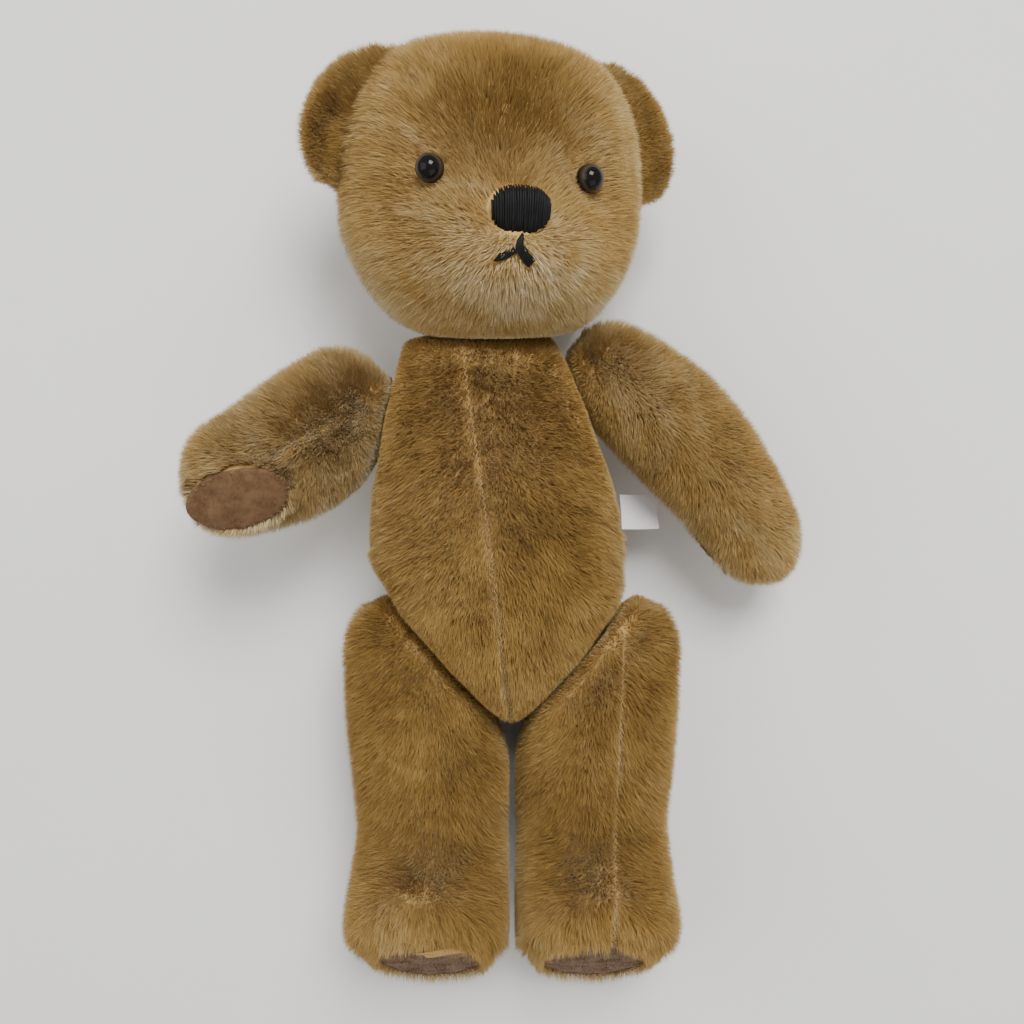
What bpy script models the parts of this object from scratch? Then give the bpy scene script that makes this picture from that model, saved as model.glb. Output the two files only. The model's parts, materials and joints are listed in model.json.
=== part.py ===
"""A jointed mohair teddy bear lying on its back, built as the pieces it is sewn and bolted from.

Frame: metres. The bear lies on the plane z = 0, its face up (+Z), its head towards +Y and its own
left side towards +X. The origin is on the flat patch of its back, on the torso's middle line.
"""
import math

import bmesh
import bpy
from mathutils import Matrix, Vector
from mathutils.bvhtree import BVHTree

# Driving dimensions, metres and degrees.
GAP = 0.0003                    # clearance between touching pieces
FILLING_GAP = 0.0008            # clearance of the stuffing in its skin
SKIN = 0.0070                   # plush: backing cloth and pile
SKIN_AT_JOINT = 0.0025          # plush pressed flat under a joint disc
SKIN_AT_FLOOR = 0.0040          # plush pressed flat where the bear lies on it
RING_SIDES = 18                 # facets round a limb

LEAN = math.radians(5)          # the upper body leans towards the bear's right
CROTCH = Vector((0.0, -0.078, 0.0))

NECK = Vector((-0.0095, 0.0660, 0.0450))
NECK_TILT = math.radians(15)    # the head is bowed over the chest
HEAD_YAW = math.radians(10)     # and turned a little to the bear's left
HEAD_ROLL = math.radians(-3)

SHOULDER_HALF_SPAN = 0.0345
SHOULDER_UP = 0.119             # along the leaning torso from the crotch
SHOULDER_HEIGHT = 0.041
SHOULDER_TILT = math.radians(17)
HIP_HALF_SPAN = 0.0260
HIP_BACK = -0.0520
HIP_HEIGHT = 0.0380
HIP_TILT = math.radians(42)

SOLE_TILT = math.radians(33)    # the soles look down and forwards
SOLE_POINT = Vector((0.0, -0.1640, 0.0450))

FELT = 0.0012
DISC = 0.0030                   # hardboard joint disc
WASHER = 0.0010
WASHER_RADIUS = 0.0050
BOLT_RADIUS = 0.0015
BOLT_HEAD_RADIUS = 0.0036
BOLT_HEAD = 0.0022
NUT_RADIUS = 0.0036
NUT = 0.0034
HOLE_RADIUS = 0.0019
RIM = 0.0015                    # the stuffing stands back from a disc's edge
DISC_RADII = {"neck": 0.0190, "shoulder": 0.0125, "hip": 0.0160}

ARM_BOW_SHARE = 0.45            # where along the arm its bow is
ARM_OFF_JOINT = 0.0160          # from the shoulder joint to the arm's middle line
CUT_PAST = 0.0020               # how far a cutter reaches past the face it opens
LEAST_RING = 0.0035             # rings smaller than this close into a tip

EYE_RADIUS = 0.0048
EYE_SHANK = 0.0011
EYE_SHANK_PAST_SKIN = 0.0060
EYE_WASHER_RADIUS = 0.0050
EYE_WASHER_DEPTH = 0.0025       # behind the lining
FACE_CLEAR = 0.0100             # how far an eye's opening reaches past its front
EYE_POCKET = 0.0060             # room behind an eye's washer
EYE_ACROSS = 0.0265             # on the face, from the middle line
EYE_UP = 0.0542                 # on the face, from the neck
EYE_SET_IN = 0.0010
EYE_GAZE = Vector((0.30, 0.04, 1.0))

MUZZLE_UP = 0.0322              # on the face, from the neck
MUZZLE_REACH = 0.0200
MUZZLE_WIDTH = 0.0270
MUZZLE_TALL = 0.0195
FACE_DEPTH = 0.0250             # the muzzle and brow are at full strength this far forward
BROW_UP = 0.0500
BROW_DIP = 0.0015
BROW_TALL = 0.0080
BROW_WIDE = 0.0240
NOSE_UP = 0.0412
NOSE_HALF = (0.0098, 0.0080, 0.0050)
NOSE_FLARE = 0.16               # the nose is broader at its top
MOUTH_THREAD = 0.0011           # radius
MOUTH_LIFT = 0.0020
MOUTH = [(-0.0085, 0.0268), (-0.0045, 0.0289), (0.0, 0.0331), (0.0045, 0.0289),
         (0.0085, 0.0268)]      # on the face, across and up

EAR_ROOT = Vector((0.0430, 0.0700, -0.0060))
EAR_UP = Vector((0.82, 0.57, 0.0))
EAR_CUP = 9.0                   # forward curl of the ear's edges, per metre
EAR_SET_BACK = 0.0020

PAD_HALF = (0.0178, 0.0115)
PAD_NARROWING = 0.12
PAD_STAND = 0.0150              # from the arm's middle line to the pad
PAD_PRESS_BACK = 0.25           # the pad's flat starts this share of the arm before its middle
SOLE_HALF = (0.0335, 0.0198)
SOLE_NARROWING = -0.08
SOLE_ACROSS = 0.0300

FOOT_LABEL = (0.0170, 0.0088, 0.0005)
FOOT_LABEL_ACROSS = -0.0250
FOOT_LABEL_UP = 0.0185          # from the sole's middle
FOOT_LABEL_TURN = math.radians(30)
CARE_LABEL = (0.0150, 0.0135, 0.0004)
CARE_LABEL_AT = (0.0490, 0.0000, 0.0270)
CARE_LABEL_ALONG = (1.0, 0.0, -0.25)
CARE_LABEL_NORMAL = (0.25, 0.20, 1.0)

# Each arm by its side: its direction from straight down, how far its paw rises above the shoulder,
# its length to the paw's tip, its girth, how far its middle bows, and where and which way its pad is.
ARMS = {
    1: {"splay": math.radians(48), "rise": -0.0120, "length": 0.1050, "girth": 1.0,
        "bow": (0.0100, 0.0060, 0.0040), "pad_share": 0.77, "pad": (-0.35, -0.42, -0.84)},
    -1: {"splay": math.radians(67), "rise": 0.0280, "length": 0.0760, "girth": 1.13,
         "bow": (-0.0040, -0.0120, 0.0040), "pad_share": 0.70, "pad": (0.16, -0.55, 0.82)},
}

MOHAIR = (0.36, 0.21, 0.075)
FELT_BROWN = (0.25, 0.125, 0.075)
WOODWOOL = (0.72, 0.62, 0.42)
HARDBOARD = (0.30, 0.17, 0.08)
STEEL = (0.55, 0.55, 0.56)
BLACK_THREAD = (0.012, 0.011, 0.012)
EYE_BLACK = (0.010, 0.008, 0.007)
LABEL_WHITE = (0.85, 0.85, 0.83)
LABEL_GOLD = (0.55, 0.30, 0.08)


def material(name, colour, roughness, metallic=0.0):
    found = bpy.data.materials.get(name)
    if found:
        return found
    made = bpy.data.materials.new(name)
    made.use_nodes = True
    shader = made.node_tree.nodes["Principled BSDF"]
    shader.inputs["Base Color"].default_value = (*colour, 1.0)
    shader.inputs["Roughness"].default_value = roughness
    shader.inputs["Metallic"].default_value = metallic
    return made


def add_object(name, bm, look, origin=None):
    """The bmesh as a named object, with its origin where its joint is."""
    bmesh.ops.recalc_face_normals(bm, faces=bm.faces)
    at = Vector(origin) if origin is not None else Vector((0, 0, 0))
    bmesh.ops.translate(bm, verts=bm.verts, vec=-at)
    mesh = bpy.data.meshes.new(name)
    bm.to_mesh(mesh)
    bm.free()
    mesh.shade_smooth()
    mesh.set_sharp_from_angle(angle=math.radians(40))
    piece = bpy.data.objects.new(name, mesh)
    piece.location = at
    piece.data.materials.append(look)
    bpy.context.collection.objects.link(piece)
    return piece


def cut(piece, cutter):
    """Take the cutter's shape out of the piece with an exact Boolean."""
    cutter.hide_render = True
    cutter.display_type = "WIRE"
    boolean = piece.modifiers.new("cut_" + cutter.name, "BOOLEAN")
    boolean.operation = "DIFFERENCE"
    boolean.object = cutter
    boolean.solver = "EXACT"


def smooth_step(values, t):
    """A smooth curve through evenly numbered values (Catmull-Rom), at t in list steps."""
    last = len(values) - 1
    i = min(int(t), last - 1)
    u = t - i
    p = [Vector(values[max(0, min(last, i + k))]) for k in (-1, 0, 1, 2)]
    return 0.5 * (2 * p[1] + (p[2] - p[0]) * u + (2 * p[0] - 5 * p[1] + 4 * p[2] - p[3]) * u**2
                  + (3 * p[1] - p[0] - 3 * p[2] + p[3]) * u**3)


class Plane:
    """A flat that a form is pressed against: its point, its outward normal and the skin there.

    beyond, a (point, direction) pair, leaves alone what lies behind that point.
    """

    def __init__(self, point, normal, skin, beyond=None):
        self.point, self.normal, self.skin = Vector(point), Vector(normal).normalized(), skin
        self.beyond = beyond

    def press(self, p, depth):
        if self.beyond and (p - self.beyond[0]).dot(self.beyond[1]) < 0:
            return p
        over = (p - self.point).dot(self.normal) + depth
        return p - self.normal * over if over > 0 else p


FLOOR = Plane((0, 0, 0), (0, 0, -1), SKIN_AT_FLOOR)


def ring_form(rings, shrink=0.0, presses=(), shape=None, sides=RING_SIDES, steps=1, squareness=2.0):
    """A closed form through rings of (centre, across, front, half_width, half_depth).

    shrink makes the inner form. The planes press it flat, less the skin there when it is an inner
    form, and shape(point) moves each point first.
    """
    bm = bmesh.new()
    loops, tips = [], []
    count = (len(rings) - 1) * steps
    centres = [r[0] for r in rings]
    across = [r[1] for r in rings]
    fronts = [r[2] for r in rings]
    halves = [(r[3], r[4]) for r in rings]
    for k in range(count + 1):
        t = k / steps
        centre = smooth_step(centres, t)
        side = smooth_step(across, t).normalized()
        front = smooth_step(fronts, t)
        front = (front - side * front.dot(side)).normalized()
        w, d = smooth_step(halves, t)
        if min(w, d) - shrink < LEAST_RING:
            continue
        loop = []
        for j in range(sides):
            a = 2 * math.pi * j / sides
            c, s = math.cos(a), math.sin(a)
            grow = (abs(c) ** squareness + abs(s) ** squareness) ** (-1 / squareness)
            loop.append(centre + side * (w - shrink) * c * grow + front * (d - shrink) * s * grow)
        loops.append(loop)
        tips.append(centre)
    swell = 0.0 if shrink > SKIN else 0.15
    tip_first = tips[0] + (tips[0] - tips[1]) * swell
    tip_last = tips[-1] + (tips[-1] - tips[-2]) * swell
    if not shrink:
        tip_first, tip_last = centres[0], centres[-1]

    def placed(p):
        if shape:
            p = shape(p)
        for plane in presses:
            p = plane.press(p, (plane.skin + shrink - SKIN) if shrink else 0.0)
        return p

    rows = [[bm.verts.new(placed(p)) for p in loop] for loop in loops]
    first, last = bm.verts.new(placed(tip_first)), bm.verts.new(placed(tip_last))
    for lower, upper in zip(rows, rows[1:]):
        for j in range(sides):
            k = (j + 1) % sides
            bm.faces.new((lower[j], lower[k], upper[k], upper[j]))
    for j in range(sides):
        k = (j + 1) % sides
        bm.faces.new((first, rows[0][k], rows[0][j]))
        bm.faces.new((last, rows[-1][j], rows[-1][k]))
    bmesh.ops.recalc_face_normals(bm, faces=bm.faces)
    bmesh.ops.triangulate(bm, faces=[f for f in bm.faces if len(f.verts) > 3])
    return bm


def plush_pair(name, rings, origin, presses=(), **options):
    """A limb's plush skin, hollow, and the stuffing that fills it."""
    outer = ring_form(rings, 0.0, presses, **options)
    inner = ring_form(rings, SKIN, presses, **options)
    bmesh.ops.reverse_faces(inner, faces=inner.faces)
    lining = bpy.data.meshes.new("lining")
    inner.to_mesh(lining)
    inner.free()
    skin_mesh = bpy.data.meshes.new(name + "_skin")
    outer.from_mesh(lining)
    bpy.data.meshes.remove(lining)
    bmesh.ops.translate(outer, verts=outer.verts, vec=-Vector(origin))
    outer.to_mesh(skin_mesh)
    outer.free()
    skin_mesh.shade_smooth()
    skin_mesh.set_sharp_from_angle(angle=math.radians(40))
    skin = bpy.data.objects.new(name + "_skin", skin_mesh)
    skin.location = origin
    skin_mesh.materials.append(material("mohair", MOHAIR, 0.95))
    bpy.context.collection.objects.link(skin)
    filling = ring_form(rings, SKIN + FILLING_GAP, presses, **options)
    stuffing = add_object(name + "_stuffing", filling, material("woodwool", WOODWOOL, 1.0), origin)
    return skin, stuffing


def turned(name, outline, centre, axis, look, sides=16, origin=None):
    """A solid of revolution from (radius, height) points round the axis, closed where radius is 0."""
    bm = bmesh.new()
    turn = Vector(axis).to_track_quat("Z", "Y").to_matrix()
    rows = []
    for radius, height in outline:
        if radius == 0:
            rows.append([bm.verts.new(Vector(centre) + turn @ Vector((0, 0, height)))])
            continue
        rows.append([bm.verts.new(Vector(centre) + turn @ Vector(
            (radius * math.cos(2 * math.pi * j / sides), radius * math.sin(2 * math.pi * j / sides),
             height))) for j in range(sides)])
    pairs = list(zip(rows, rows[1:]))
    if outline[0][0] > 0 and outline[-1][0] > 0:
        pairs.append((rows[-1], rows[0]))
    for low, high in pairs:
        for j in range(sides):
            k = (j + 1) % sides
            if len(low) == 1:
                bm.faces.new((low[0], high[k], high[j]))
            elif len(high) == 1:
                bm.faces.new((low[j], low[k], high[0]))
            else:
                bm.faces.new((low[j], low[k], high[k], high[j]))
    return add_object(name, bm, look, origin)


def ring_plate(name, centre, axis, radius, hole, thickness, look, origin=None):
    """A flat round plate with a hole, its near face at the centre."""
    outline = [(hole, 0), (radius, 0), (radius, thickness), (hole, thickness)]
    return turned(name, outline, centre, axis, look, origin=origin)


def joint_stack(name, kind, at, axis, limb, torso):
    """The disc joint's hardware: a disc and a washer on each side, a bolt and its locknut.

    axis points from the torso into the limb. limb and torso are (skin, stuffing) pairs.
    """
    radius = DISC_RADII[kind]
    board = material("hardboard", HARDBOARD, 0.8)
    steel = material("zinc_steel", STEEL, 0.35, 1.0)
    at, axis = Vector(at), Vector(axis).normalized()
    first = SKIN_AT_JOINT + GAP
    washer_at = first + DISC + GAP
    cap_at = washer_at + WASHER + GAP
    for side, way in (("limb", axis), ("torso", -axis)):
        ring_plate(f"{name}_disc_{side}", at + way * first, way, radius, HOLE_RADIUS, DISC, board, at)
        ring_plate(f"{name}_washer_{side}", at + way * washer_at, way, WASHER_RADIUS, HOLE_RADIUS,
                   WASHER, steel, at)
    bolt_end = -(cap_at + NUT + BOLT_RADIUS)
    bolt = [(0, bolt_end), (BOLT_RADIUS, bolt_end), (BOLT_RADIUS, cap_at),
            (BOLT_HEAD_RADIUS, cap_at), (BOLT_HEAD_RADIUS, cap_at + BOLT_HEAD),
            (0, cap_at + BOLT_HEAD)]
    turned(name + "_bolt", bolt, at, axis, steel, sides=12, origin=at)
    bore = BOLT_RADIUS + GAP
    nut = [(bore, 0), (NUT_RADIUS, 0), (NUT_RADIUS, NUT), (bore, NUT)]
    turned(name + "_locknut", nut, at - axis * cap_at, -axis, steel, sides=6, origin=at)
    reach = cap_at + max(BOLT_HEAD, NUT + BOLT_RADIUS) + 3 * GAP
    cutter_look = material("cutter", MOHAIR, 1.0)
    for (skin, stuffing), way, side in ((limb, axis, "limb"), (torso, -axis, "torso")):
        inner = [(radius + GAP, washer_at + GAP), (WASHER_RADIUS + GAP, washer_at + GAP),
                 (WASHER_RADIUS + GAP, reach), (0, reach)]
        opening = [(0, -CUT_PAST), (HOLE_RADIUS, -CUT_PAST), (HOLE_RADIUS, SKIN_AT_JOINT),
                   (radius + GAP, SKIN_AT_JOINT)] + inner
        cut(skin, turned(f"{name}_opening_{side}", opening, at, way, cutter_look))
        pocket = [(0, -CUT_PAST), (radius + RIM, -CUT_PAST), (radius + RIM, washer_at + 2 * GAP),
                  (WASHER_RADIUS + 2 * GAP, washer_at + 2 * GAP),
                  (WASHER_RADIUS + 2 * GAP, reach + GAP), (0, reach + GAP)]
        cut(stuffing, turned(f"{name}_pocket_{side}", pocket, at, way, cutter_look))


def lean(p):
    """A point of the upright torso, leaned about the crotch."""
    return CROTCH + Matrix.Rotation(LEAN, 3, "Z") @ (Vector(p) - CROTCH)


def shoulder(side):
    """The shoulder joint's point and its axis, which points out of the torso."""
    at = lean((side * SHOULDER_HALF_SPAN, CROTCH.y + SHOULDER_UP, SHOULDER_HEIGHT))
    out = Vector((side * math.cos(SHOULDER_TILT), math.sin(SHOULDER_TILT), 0))
    return at, Matrix.Rotation(LEAN, 3, "Z") @ out


def hip(side):
    """The hip joint's point and its axis, which points out of the torso."""
    out = Vector((side * math.cos(HIP_TILT), -math.sin(HIP_TILT), 0))
    return Vector((side * HIP_HALF_SPAN, HIP_BACK, HIP_HEIGHT)), out


NECK_AXIS = Vector((0, math.cos(NECK_TILT), math.sin(NECK_TILT)))


def joint_plane(at, out, side_of):
    """The flat that one side of a joint is pressed to: side_of is 1 in the limb, -1 in the torso."""
    return Plane(at + out * side_of * GAP / 2, -out * side_of, SKIN_AT_JOINT)


def make_torso():
    # (distance up from the crotch, half width, half depth, height of the middle line)
    profile = [(0.000, 0.0035, 0.0100, 0.040), (0.008, 0.0180, 0.0230, 0.040),
               (0.022, 0.0340, 0.0340, 0.041), (0.042, 0.0445, 0.0415, 0.0415),
               (0.065, 0.0475, 0.0445, 0.0420), (0.090, 0.0455, 0.0430, 0.0420),
               (0.112, 0.0425, 0.0390, 0.0415), (0.130, 0.0390, 0.0340, 0.0415),
               (0.144, 0.0300, 0.0290, 0.0425), (0.156, 0.0160, 0.0170, 0.0430)]
    turn = Matrix.Rotation(LEAN, 3, "Z")
    rings = [(lean((0, CROTCH.y + up, height)), turn @ Vector((1, 0, 0)), Vector((0, 0, 1)), w, d)
             for up, w, d, height in profile]
    presses = [FLOOR, joint_plane(NECK, NECK_AXIS, -1)]
    presses += [joint_plane(*shoulder(side), -1) for side in (1, -1)]
    presses += [joint_plane(*hip(side), -1) for side in (1, -1)]
    return plush_pair("torso", rings, (0, 0, 0), presses, squareness=2.15, sides=22)


def make_leg(side):
    at, out = hip(side)
    # (along, middle height, half width, half depth, tilt of the ring as a share of the sole's)
    profile = [(-0.0300, 0.0370, 0.0035, 0.0035, 0.0, 0.0450),
               (-0.0360, 0.0370, 0.0170, 0.0180, 0.0, 0.0415),
               (-0.0470, 0.0360, 0.0265, 0.0270, 0.0, 0.0365),
               (-0.0670, 0.0350, 0.0305, 0.0305, 0.0, 0.0320),
               (-0.0950, 0.0340, 0.0300, 0.0300, 0.1, 0.0305),
               (-0.1200, 0.0340, 0.0275, 0.0285, 0.4, 0.0300),
               (-0.1380, 0.0380, 0.0290, 0.0330, 0.8, 0.0305),
               (-0.1530, 0.0430, 0.0305, 0.0400, 1.0, 0.0315),
               (-0.1650, 0.0450, 0.0290, 0.0400, 1.0, 0.0315),
               (-0.1740, 0.0450, 0.0150, 0.0250, 1.0, 0.0310)]
    rings = []
    for along, height, w, d, share, x in profile:
        tilt = SOLE_TILT * share
        front = Vector((0, math.sin(tilt), math.cos(tilt)))
        rings.append((Vector((side * x, along, height)), Vector((side, 0, 0)), front, w, d))

    def clear_of_twin(p):
        """Keep the point, carried right round the hip, on its own side of the middle plane."""
        reach = (p - at).dot(out)
        radius = (p - at - out * reach).length
        least = (2 * GAP - HIP_HALF_SPAN + radius * math.sin(HIP_TILT)) / math.cos(HIP_TILT)
        return p + out * (least - reach) if reach < least else p

    presses = [FLOOR, joint_plane(at, out, 1), Plane(SOLE_POINT, sole_normal(), FELT)]
    name = "leg_left" if side > 0 else "leg_right"
    return plush_pair(name, rings, at, presses, shape=clear_of_twin, squareness=2.2)


def sole_normal():
    return Vector((0, -math.cos(SOLE_TILT), math.sin(SOLE_TILT)))


def oval_plate(name, centre, normal, along, half_length, half_width, thickness, look, narrowing=0.0):
    """A flat oval plate with a rounded rim, narrower at one end, its inner face at the centre."""
    normal, along = Vector(normal).normalized(), Vector(along)
    along = (along - normal * along.dot(normal)).normalized()
    across = normal.cross(along)
    bm = bmesh.new()
    sides = 24
    rows = []
    for height, inset in ((0, 0.0), (0.6 * thickness, 0.0), (thickness, 0.5 * thickness)):
        row = []
        for j in range(sides):
            a = 2 * math.pi * j / sides
            width = (half_width - inset) * (1 - narrowing * math.cos(a))
            row.append(bm.verts.new(Vector(centre) + normal * height
                                    + along * (half_length - inset) * math.cos(a)
                                    + across * width * math.sin(a)))
        rows.append(row)
    for low, high in zip(rows, rows[1:]):
        for j in range(sides):
            k = (j + 1) % sides
            bm.faces.new((low[j], low[k], high[k], high[j]))
    bm.faces.new(rows[0])
    bm.faces.new(rows[-1])
    return add_object(name, bm, look)


def make_arm(side):
    at, out = shoulder(side)
    pose = ARMS[side]
    aim = Vector((side * math.sin(pose["splay"]), -math.cos(pose["splay"]), 0))
    # (share of the way to the paw's tip, half width, half depth)
    profile = [(-0.205, 0.0035, 0.0035), (-0.175, 0.0125, 0.0120), (-0.10, 0.0190, 0.0185),
               (0.05, 0.0210, 0.0210), (0.25, 0.0226, 0.0215), (0.48, 0.0218, 0.0205),
               (0.68, 0.0195, 0.0185), (0.84, 0.0180, 0.0165), (0.94, 0.0130, 0.0125),
               (1.00, 0.0035, 0.0035)]
    start = at + out * ARM_OFF_JOINT
    tip = at + aim * pose["length"] + Vector((0, 0, pose["rise"]))
    bow_out, bow_up, bow_forward = pose["bow"]
    elbow = start + (tip - start) * ARM_BOW_SHARE + out * bow_out + Vector((0, bow_up, bow_forward))

    def middle(u):
        return start * (1 - u) ** 2 + elbow * 2 * u * (1 - u) + tip * u**2

    rings = []
    for share, w, d in profile:
        u = max(share, 0.0)
        centre = middle(u)
        heading = (elbow - start) * (1 - u) + (tip - elbow) * u
        if share < 0:
            centre = start + (elbow - start).normalized() * share * pose["length"]
        heading.normalize()
        front = (Vector((0, 0, 1)) - heading * heading.z).normalized()
        girth = pose["girth"] if share < 1 else 1.0
        rings.append((centre, front.cross(heading) * side, front, w * girth, d * girth))
    pad_normal = Vector(pose["pad"]).normalized()
    pad_centre = middle(pose["pad_share"]) + pad_normal * PAD_STAND
    paw_start = start.lerp(tip, pose["pad_share"] - PAD_PRESS_BACK)
    run = (tip - start).normalized()
    pad_plane = Plane(pad_centre, pad_normal, SKIN_AT_JOINT, (paw_start, run))
    presses = [FLOOR, joint_plane(at, out, 1), pad_plane]
    name = "arm_left" if side > 0 else "arm_right"
    pair = plush_pair(name, rings, at, presses)
    pad = oval_plate(name.replace("arm", "paw_pad"), pad_centre + pad_normal * GAP, pad_normal,
                     run, *PAD_HALF, FELT, material("felt", FELT_BROWN, 0.95), PAD_NARROWING)
    return pair, pad


def head_frame():
    """Turn from the head's own frame (X its left, Y up its neck, Z out of its face) to the world."""
    bow = Matrix.Rotation(NECK_TILT, 3, "X")
    return bow @ Matrix.Rotation(HEAD_YAW, 3, "Y") @ Matrix.Rotation(HEAD_ROLL, 3, "Z")


def make_head():
    turn = head_frame()

    def to_world(p):
        return NECK + turn @ Vector(p)

    # (up the neck axis, half width, half depth, middle line forward)
    profile = [(-0.006, 0.0035, 0.0035, 0.004), (-0.001, 0.0230, 0.0240, 0.003),
               (0.006, 0.0350, 0.0350, 0.001), (0.018, 0.0460, 0.0450, -0.003),
               (0.034, 0.0530, 0.0490, -0.006), (0.052, 0.0535, 0.0500, -0.008),
               (0.070, 0.0510, 0.0480, -0.009), (0.085, 0.0445, 0.0410, -0.008),
               (0.096, 0.0320, 0.0290, -0.006), (0.102, 0.0035, 0.0035, -0.005)]
    rings = [((0, up, middle), (1, 0, 0), (0, 0, 1), w, d) for up, w, d, middle in profile]

    def with_muzzle(p):
        p = Vector(p)
        if p.z > 0:
            dx, dy = p.x / MUZZLE_WIDTH, (p.y - MUZZLE_UP) / MUZZLE_TALL
            facing = min(1.0, p.z / FACE_DEPTH)
            p.z += MUZZLE_REACH * facing * math.exp(-(dx * dx + dy * dy) ** 1.4)
            brow = math.exp(-((p.y - BROW_UP) / BROW_TALL) ** 2)
            brow *= math.exp(-(p.x / BROW_WIDE) ** 4)
            p.z -= BROW_DIP * brow * facing
        return to_world(p)

    neck_plane = joint_plane(NECK, NECK_AXIS, 1)
    rings = [(Vector(c), Vector(s), Vector(f), w, d) for c, s, f, w, d in rings]
    presses = [FLOOR, neck_plane]
    options = {"shape": with_muzzle, "squareness": 2.25, "sides": 32, "steps": 2}
    pair = plush_pair("head", rings, NECK, presses, **options)
    outer = ring_form(rings, 0.0, presses, **options)
    surface = BVHTree.FromBMesh(outer)
    grown = ring_form([(c, s, f, w + GAP, d + GAP) for c, s, f, w, d in rings], 0.0, presses,
                      **options)
    bmesh.ops.translate(grown, verts=grown.verts, vec=turn @ Vector((0, 0, GAP)))
    outer.free()
    clearance = add_object("head_clearance", grown, material("cutter", MOHAIR, 1.0))

    def on_face(x, y):
        """Where the line out of the face at (x, y) leaves the plush."""
        start = to_world((x, y, 0.12))
        return surface.ray_cast(start, -(turn @ Vector((0, 0, 1))))[0]

    return pair, clearance, on_face, to_world, turn


def make_ear(side, clearance, to_world, turn):
    """A cupped round ear, its root cut to lie against the head."""
    root = Vector((side * EAR_ROOT.x, EAR_ROOT.y, EAR_ROOT.z))
    up = Vector((side * EAR_UP.x, EAR_UP.y, EAR_UP.z)).normalized()
    across = Vector((up.y, -up.x, 0.0)) * side
    forward = Vector((side * 0.10, 0.0, 1.0))
    forward = (forward - up * forward.dot(up)).normalized()
    profile = [(-0.012, 0.0180, 0.0050), (-0.006, 0.0250, 0.0065), (0.002, 0.0295, 0.0075),
               (0.009, 0.0285, 0.0080), (0.016, 0.0235, 0.0075), (0.0215, 0.0145, 0.0060),
               (0.0245, 0.0035, 0.0035)]
    rings = [(root + up * s, across, forward, w, d) for s, w, d in profile]

    def cupped(p):
        off = (p - root).dot(across)
        return to_world(p + forward * (EAR_CUP * off * off - EAR_SET_BACK))

    bm = ring_form(rings, 0.0, (), shape=cupped, sides=20, steps=1)
    name = "ear_left" if side > 0 else "ear_right"
    ear = add_object(name, bm, material("mohair", MOHAIR, 0.95))
    cut(ear, clearance)
    return ear


def make_eye(side, head, on_face, turn):
    """A glass eye on a shank, its washer under the skin, and the openings they need."""
    name = "left" if side > 0 else "right"
    inward = -(turn @ Vector((side * EYE_GAZE.x, EYE_GAZE.y, EYE_GAZE.z)).normalized())
    centre = on_face(side * EYE_ACROSS, EYE_UP) + inward * EYE_SET_IN
    shank_end = SKIN + EYE_SHANK_PAST_SKIN
    outline = [(0, -EYE_RADIUS)]
    steps = 8
    for k in range(1, steps):
        a = math.pi * k / steps
        radius, height = EYE_RADIUS * math.sin(a), -EYE_RADIUS * math.cos(a)
        if a < math.pi / 2 or radius > EYE_SHANK:
            outline.append((radius, height))
    outline += [(EYE_SHANK, EYE_RADIUS), (EYE_SHANK, shank_end), (0, shank_end)]
    turned("eye_" + name, outline, centre, inward, material("glass_eye", EYE_BLACK, 0.05), sides=16)
    plate_at = SKIN + EYE_WASHER_DEPTH
    ring_plate("eye_washer_" + name, centre + inward * plate_at, inward, EYE_WASHER_RADIUS,
               EYE_SHANK + GAP, WASHER, material("zinc_steel", STEEL, 0.35, 1.0))
    skin, stuffing = head
    socket = [(0, -EYE_RADIUS - FACE_CLEAR), (EYE_RADIUS + GAP, -EYE_RADIUS - FACE_CLEAR),
              (EYE_RADIUS + GAP, 0.0)]
    for k in range(1, 4):
        a = math.pi / 2 * k / 4
        socket.append(((EYE_RADIUS + GAP) * math.cos(a), (EYE_RADIUS + GAP) * math.sin(a)))
    socket += [(EYE_SHANK + GAP, EYE_RADIUS + GAP), (EYE_SHANK + GAP, plate_at - WASHER),
               (EYE_WASHER_RADIUS + 2 * GAP, plate_at - WASHER),
               (EYE_WASHER_RADIUS + 2 * GAP, plate_at + EYE_POCKET), (0, plate_at + EYE_POCKET)]
    cutter_look = material("cutter", MOHAIR, 1.0)
    cut(skin, turned(f"eye_socket_{name}", socket, centre, inward, cutter_look, sides=16))
    pocket_end = plate_at + EYE_POCKET + WASHER
    pocket = [(0, 0), (EYE_WASHER_RADIUS + 3 * GAP, 0), (EYE_WASHER_RADIUS + 3 * GAP, pocket_end),
              (0, pocket_end)]
    cut(stuffing, turned(f"eye_pocket_{name}", pocket, centre, inward, cutter_look, sides=16))


def make_nose(clearance, on_face, turn):
    """The nose: a raised pad of satin-stitched thread, broader at the top."""
    hit = on_face(0.0, NOSE_UP)
    look = material("black_thread", BLACK_THREAD, 0.45)
    bm = bmesh.new()
    bmesh.ops.create_uvsphere(bm, u_segments=16, v_segments=10, radius=1.0)
    for v in bm.verts:
        x, y, z = v.co
        v.co = (x * NOSE_HALF[0] * (1 + NOSE_FLARE * y), y * NOSE_HALF[1], z * NOSE_HALF[2])
    frame = turn.to_4x4()
    frame.translation = hit
    bmesh.ops.transform(bm, matrix=frame, verts=bm.verts)
    nose = add_object("nose", bm, look)
    cut(nose, clearance)


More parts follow.
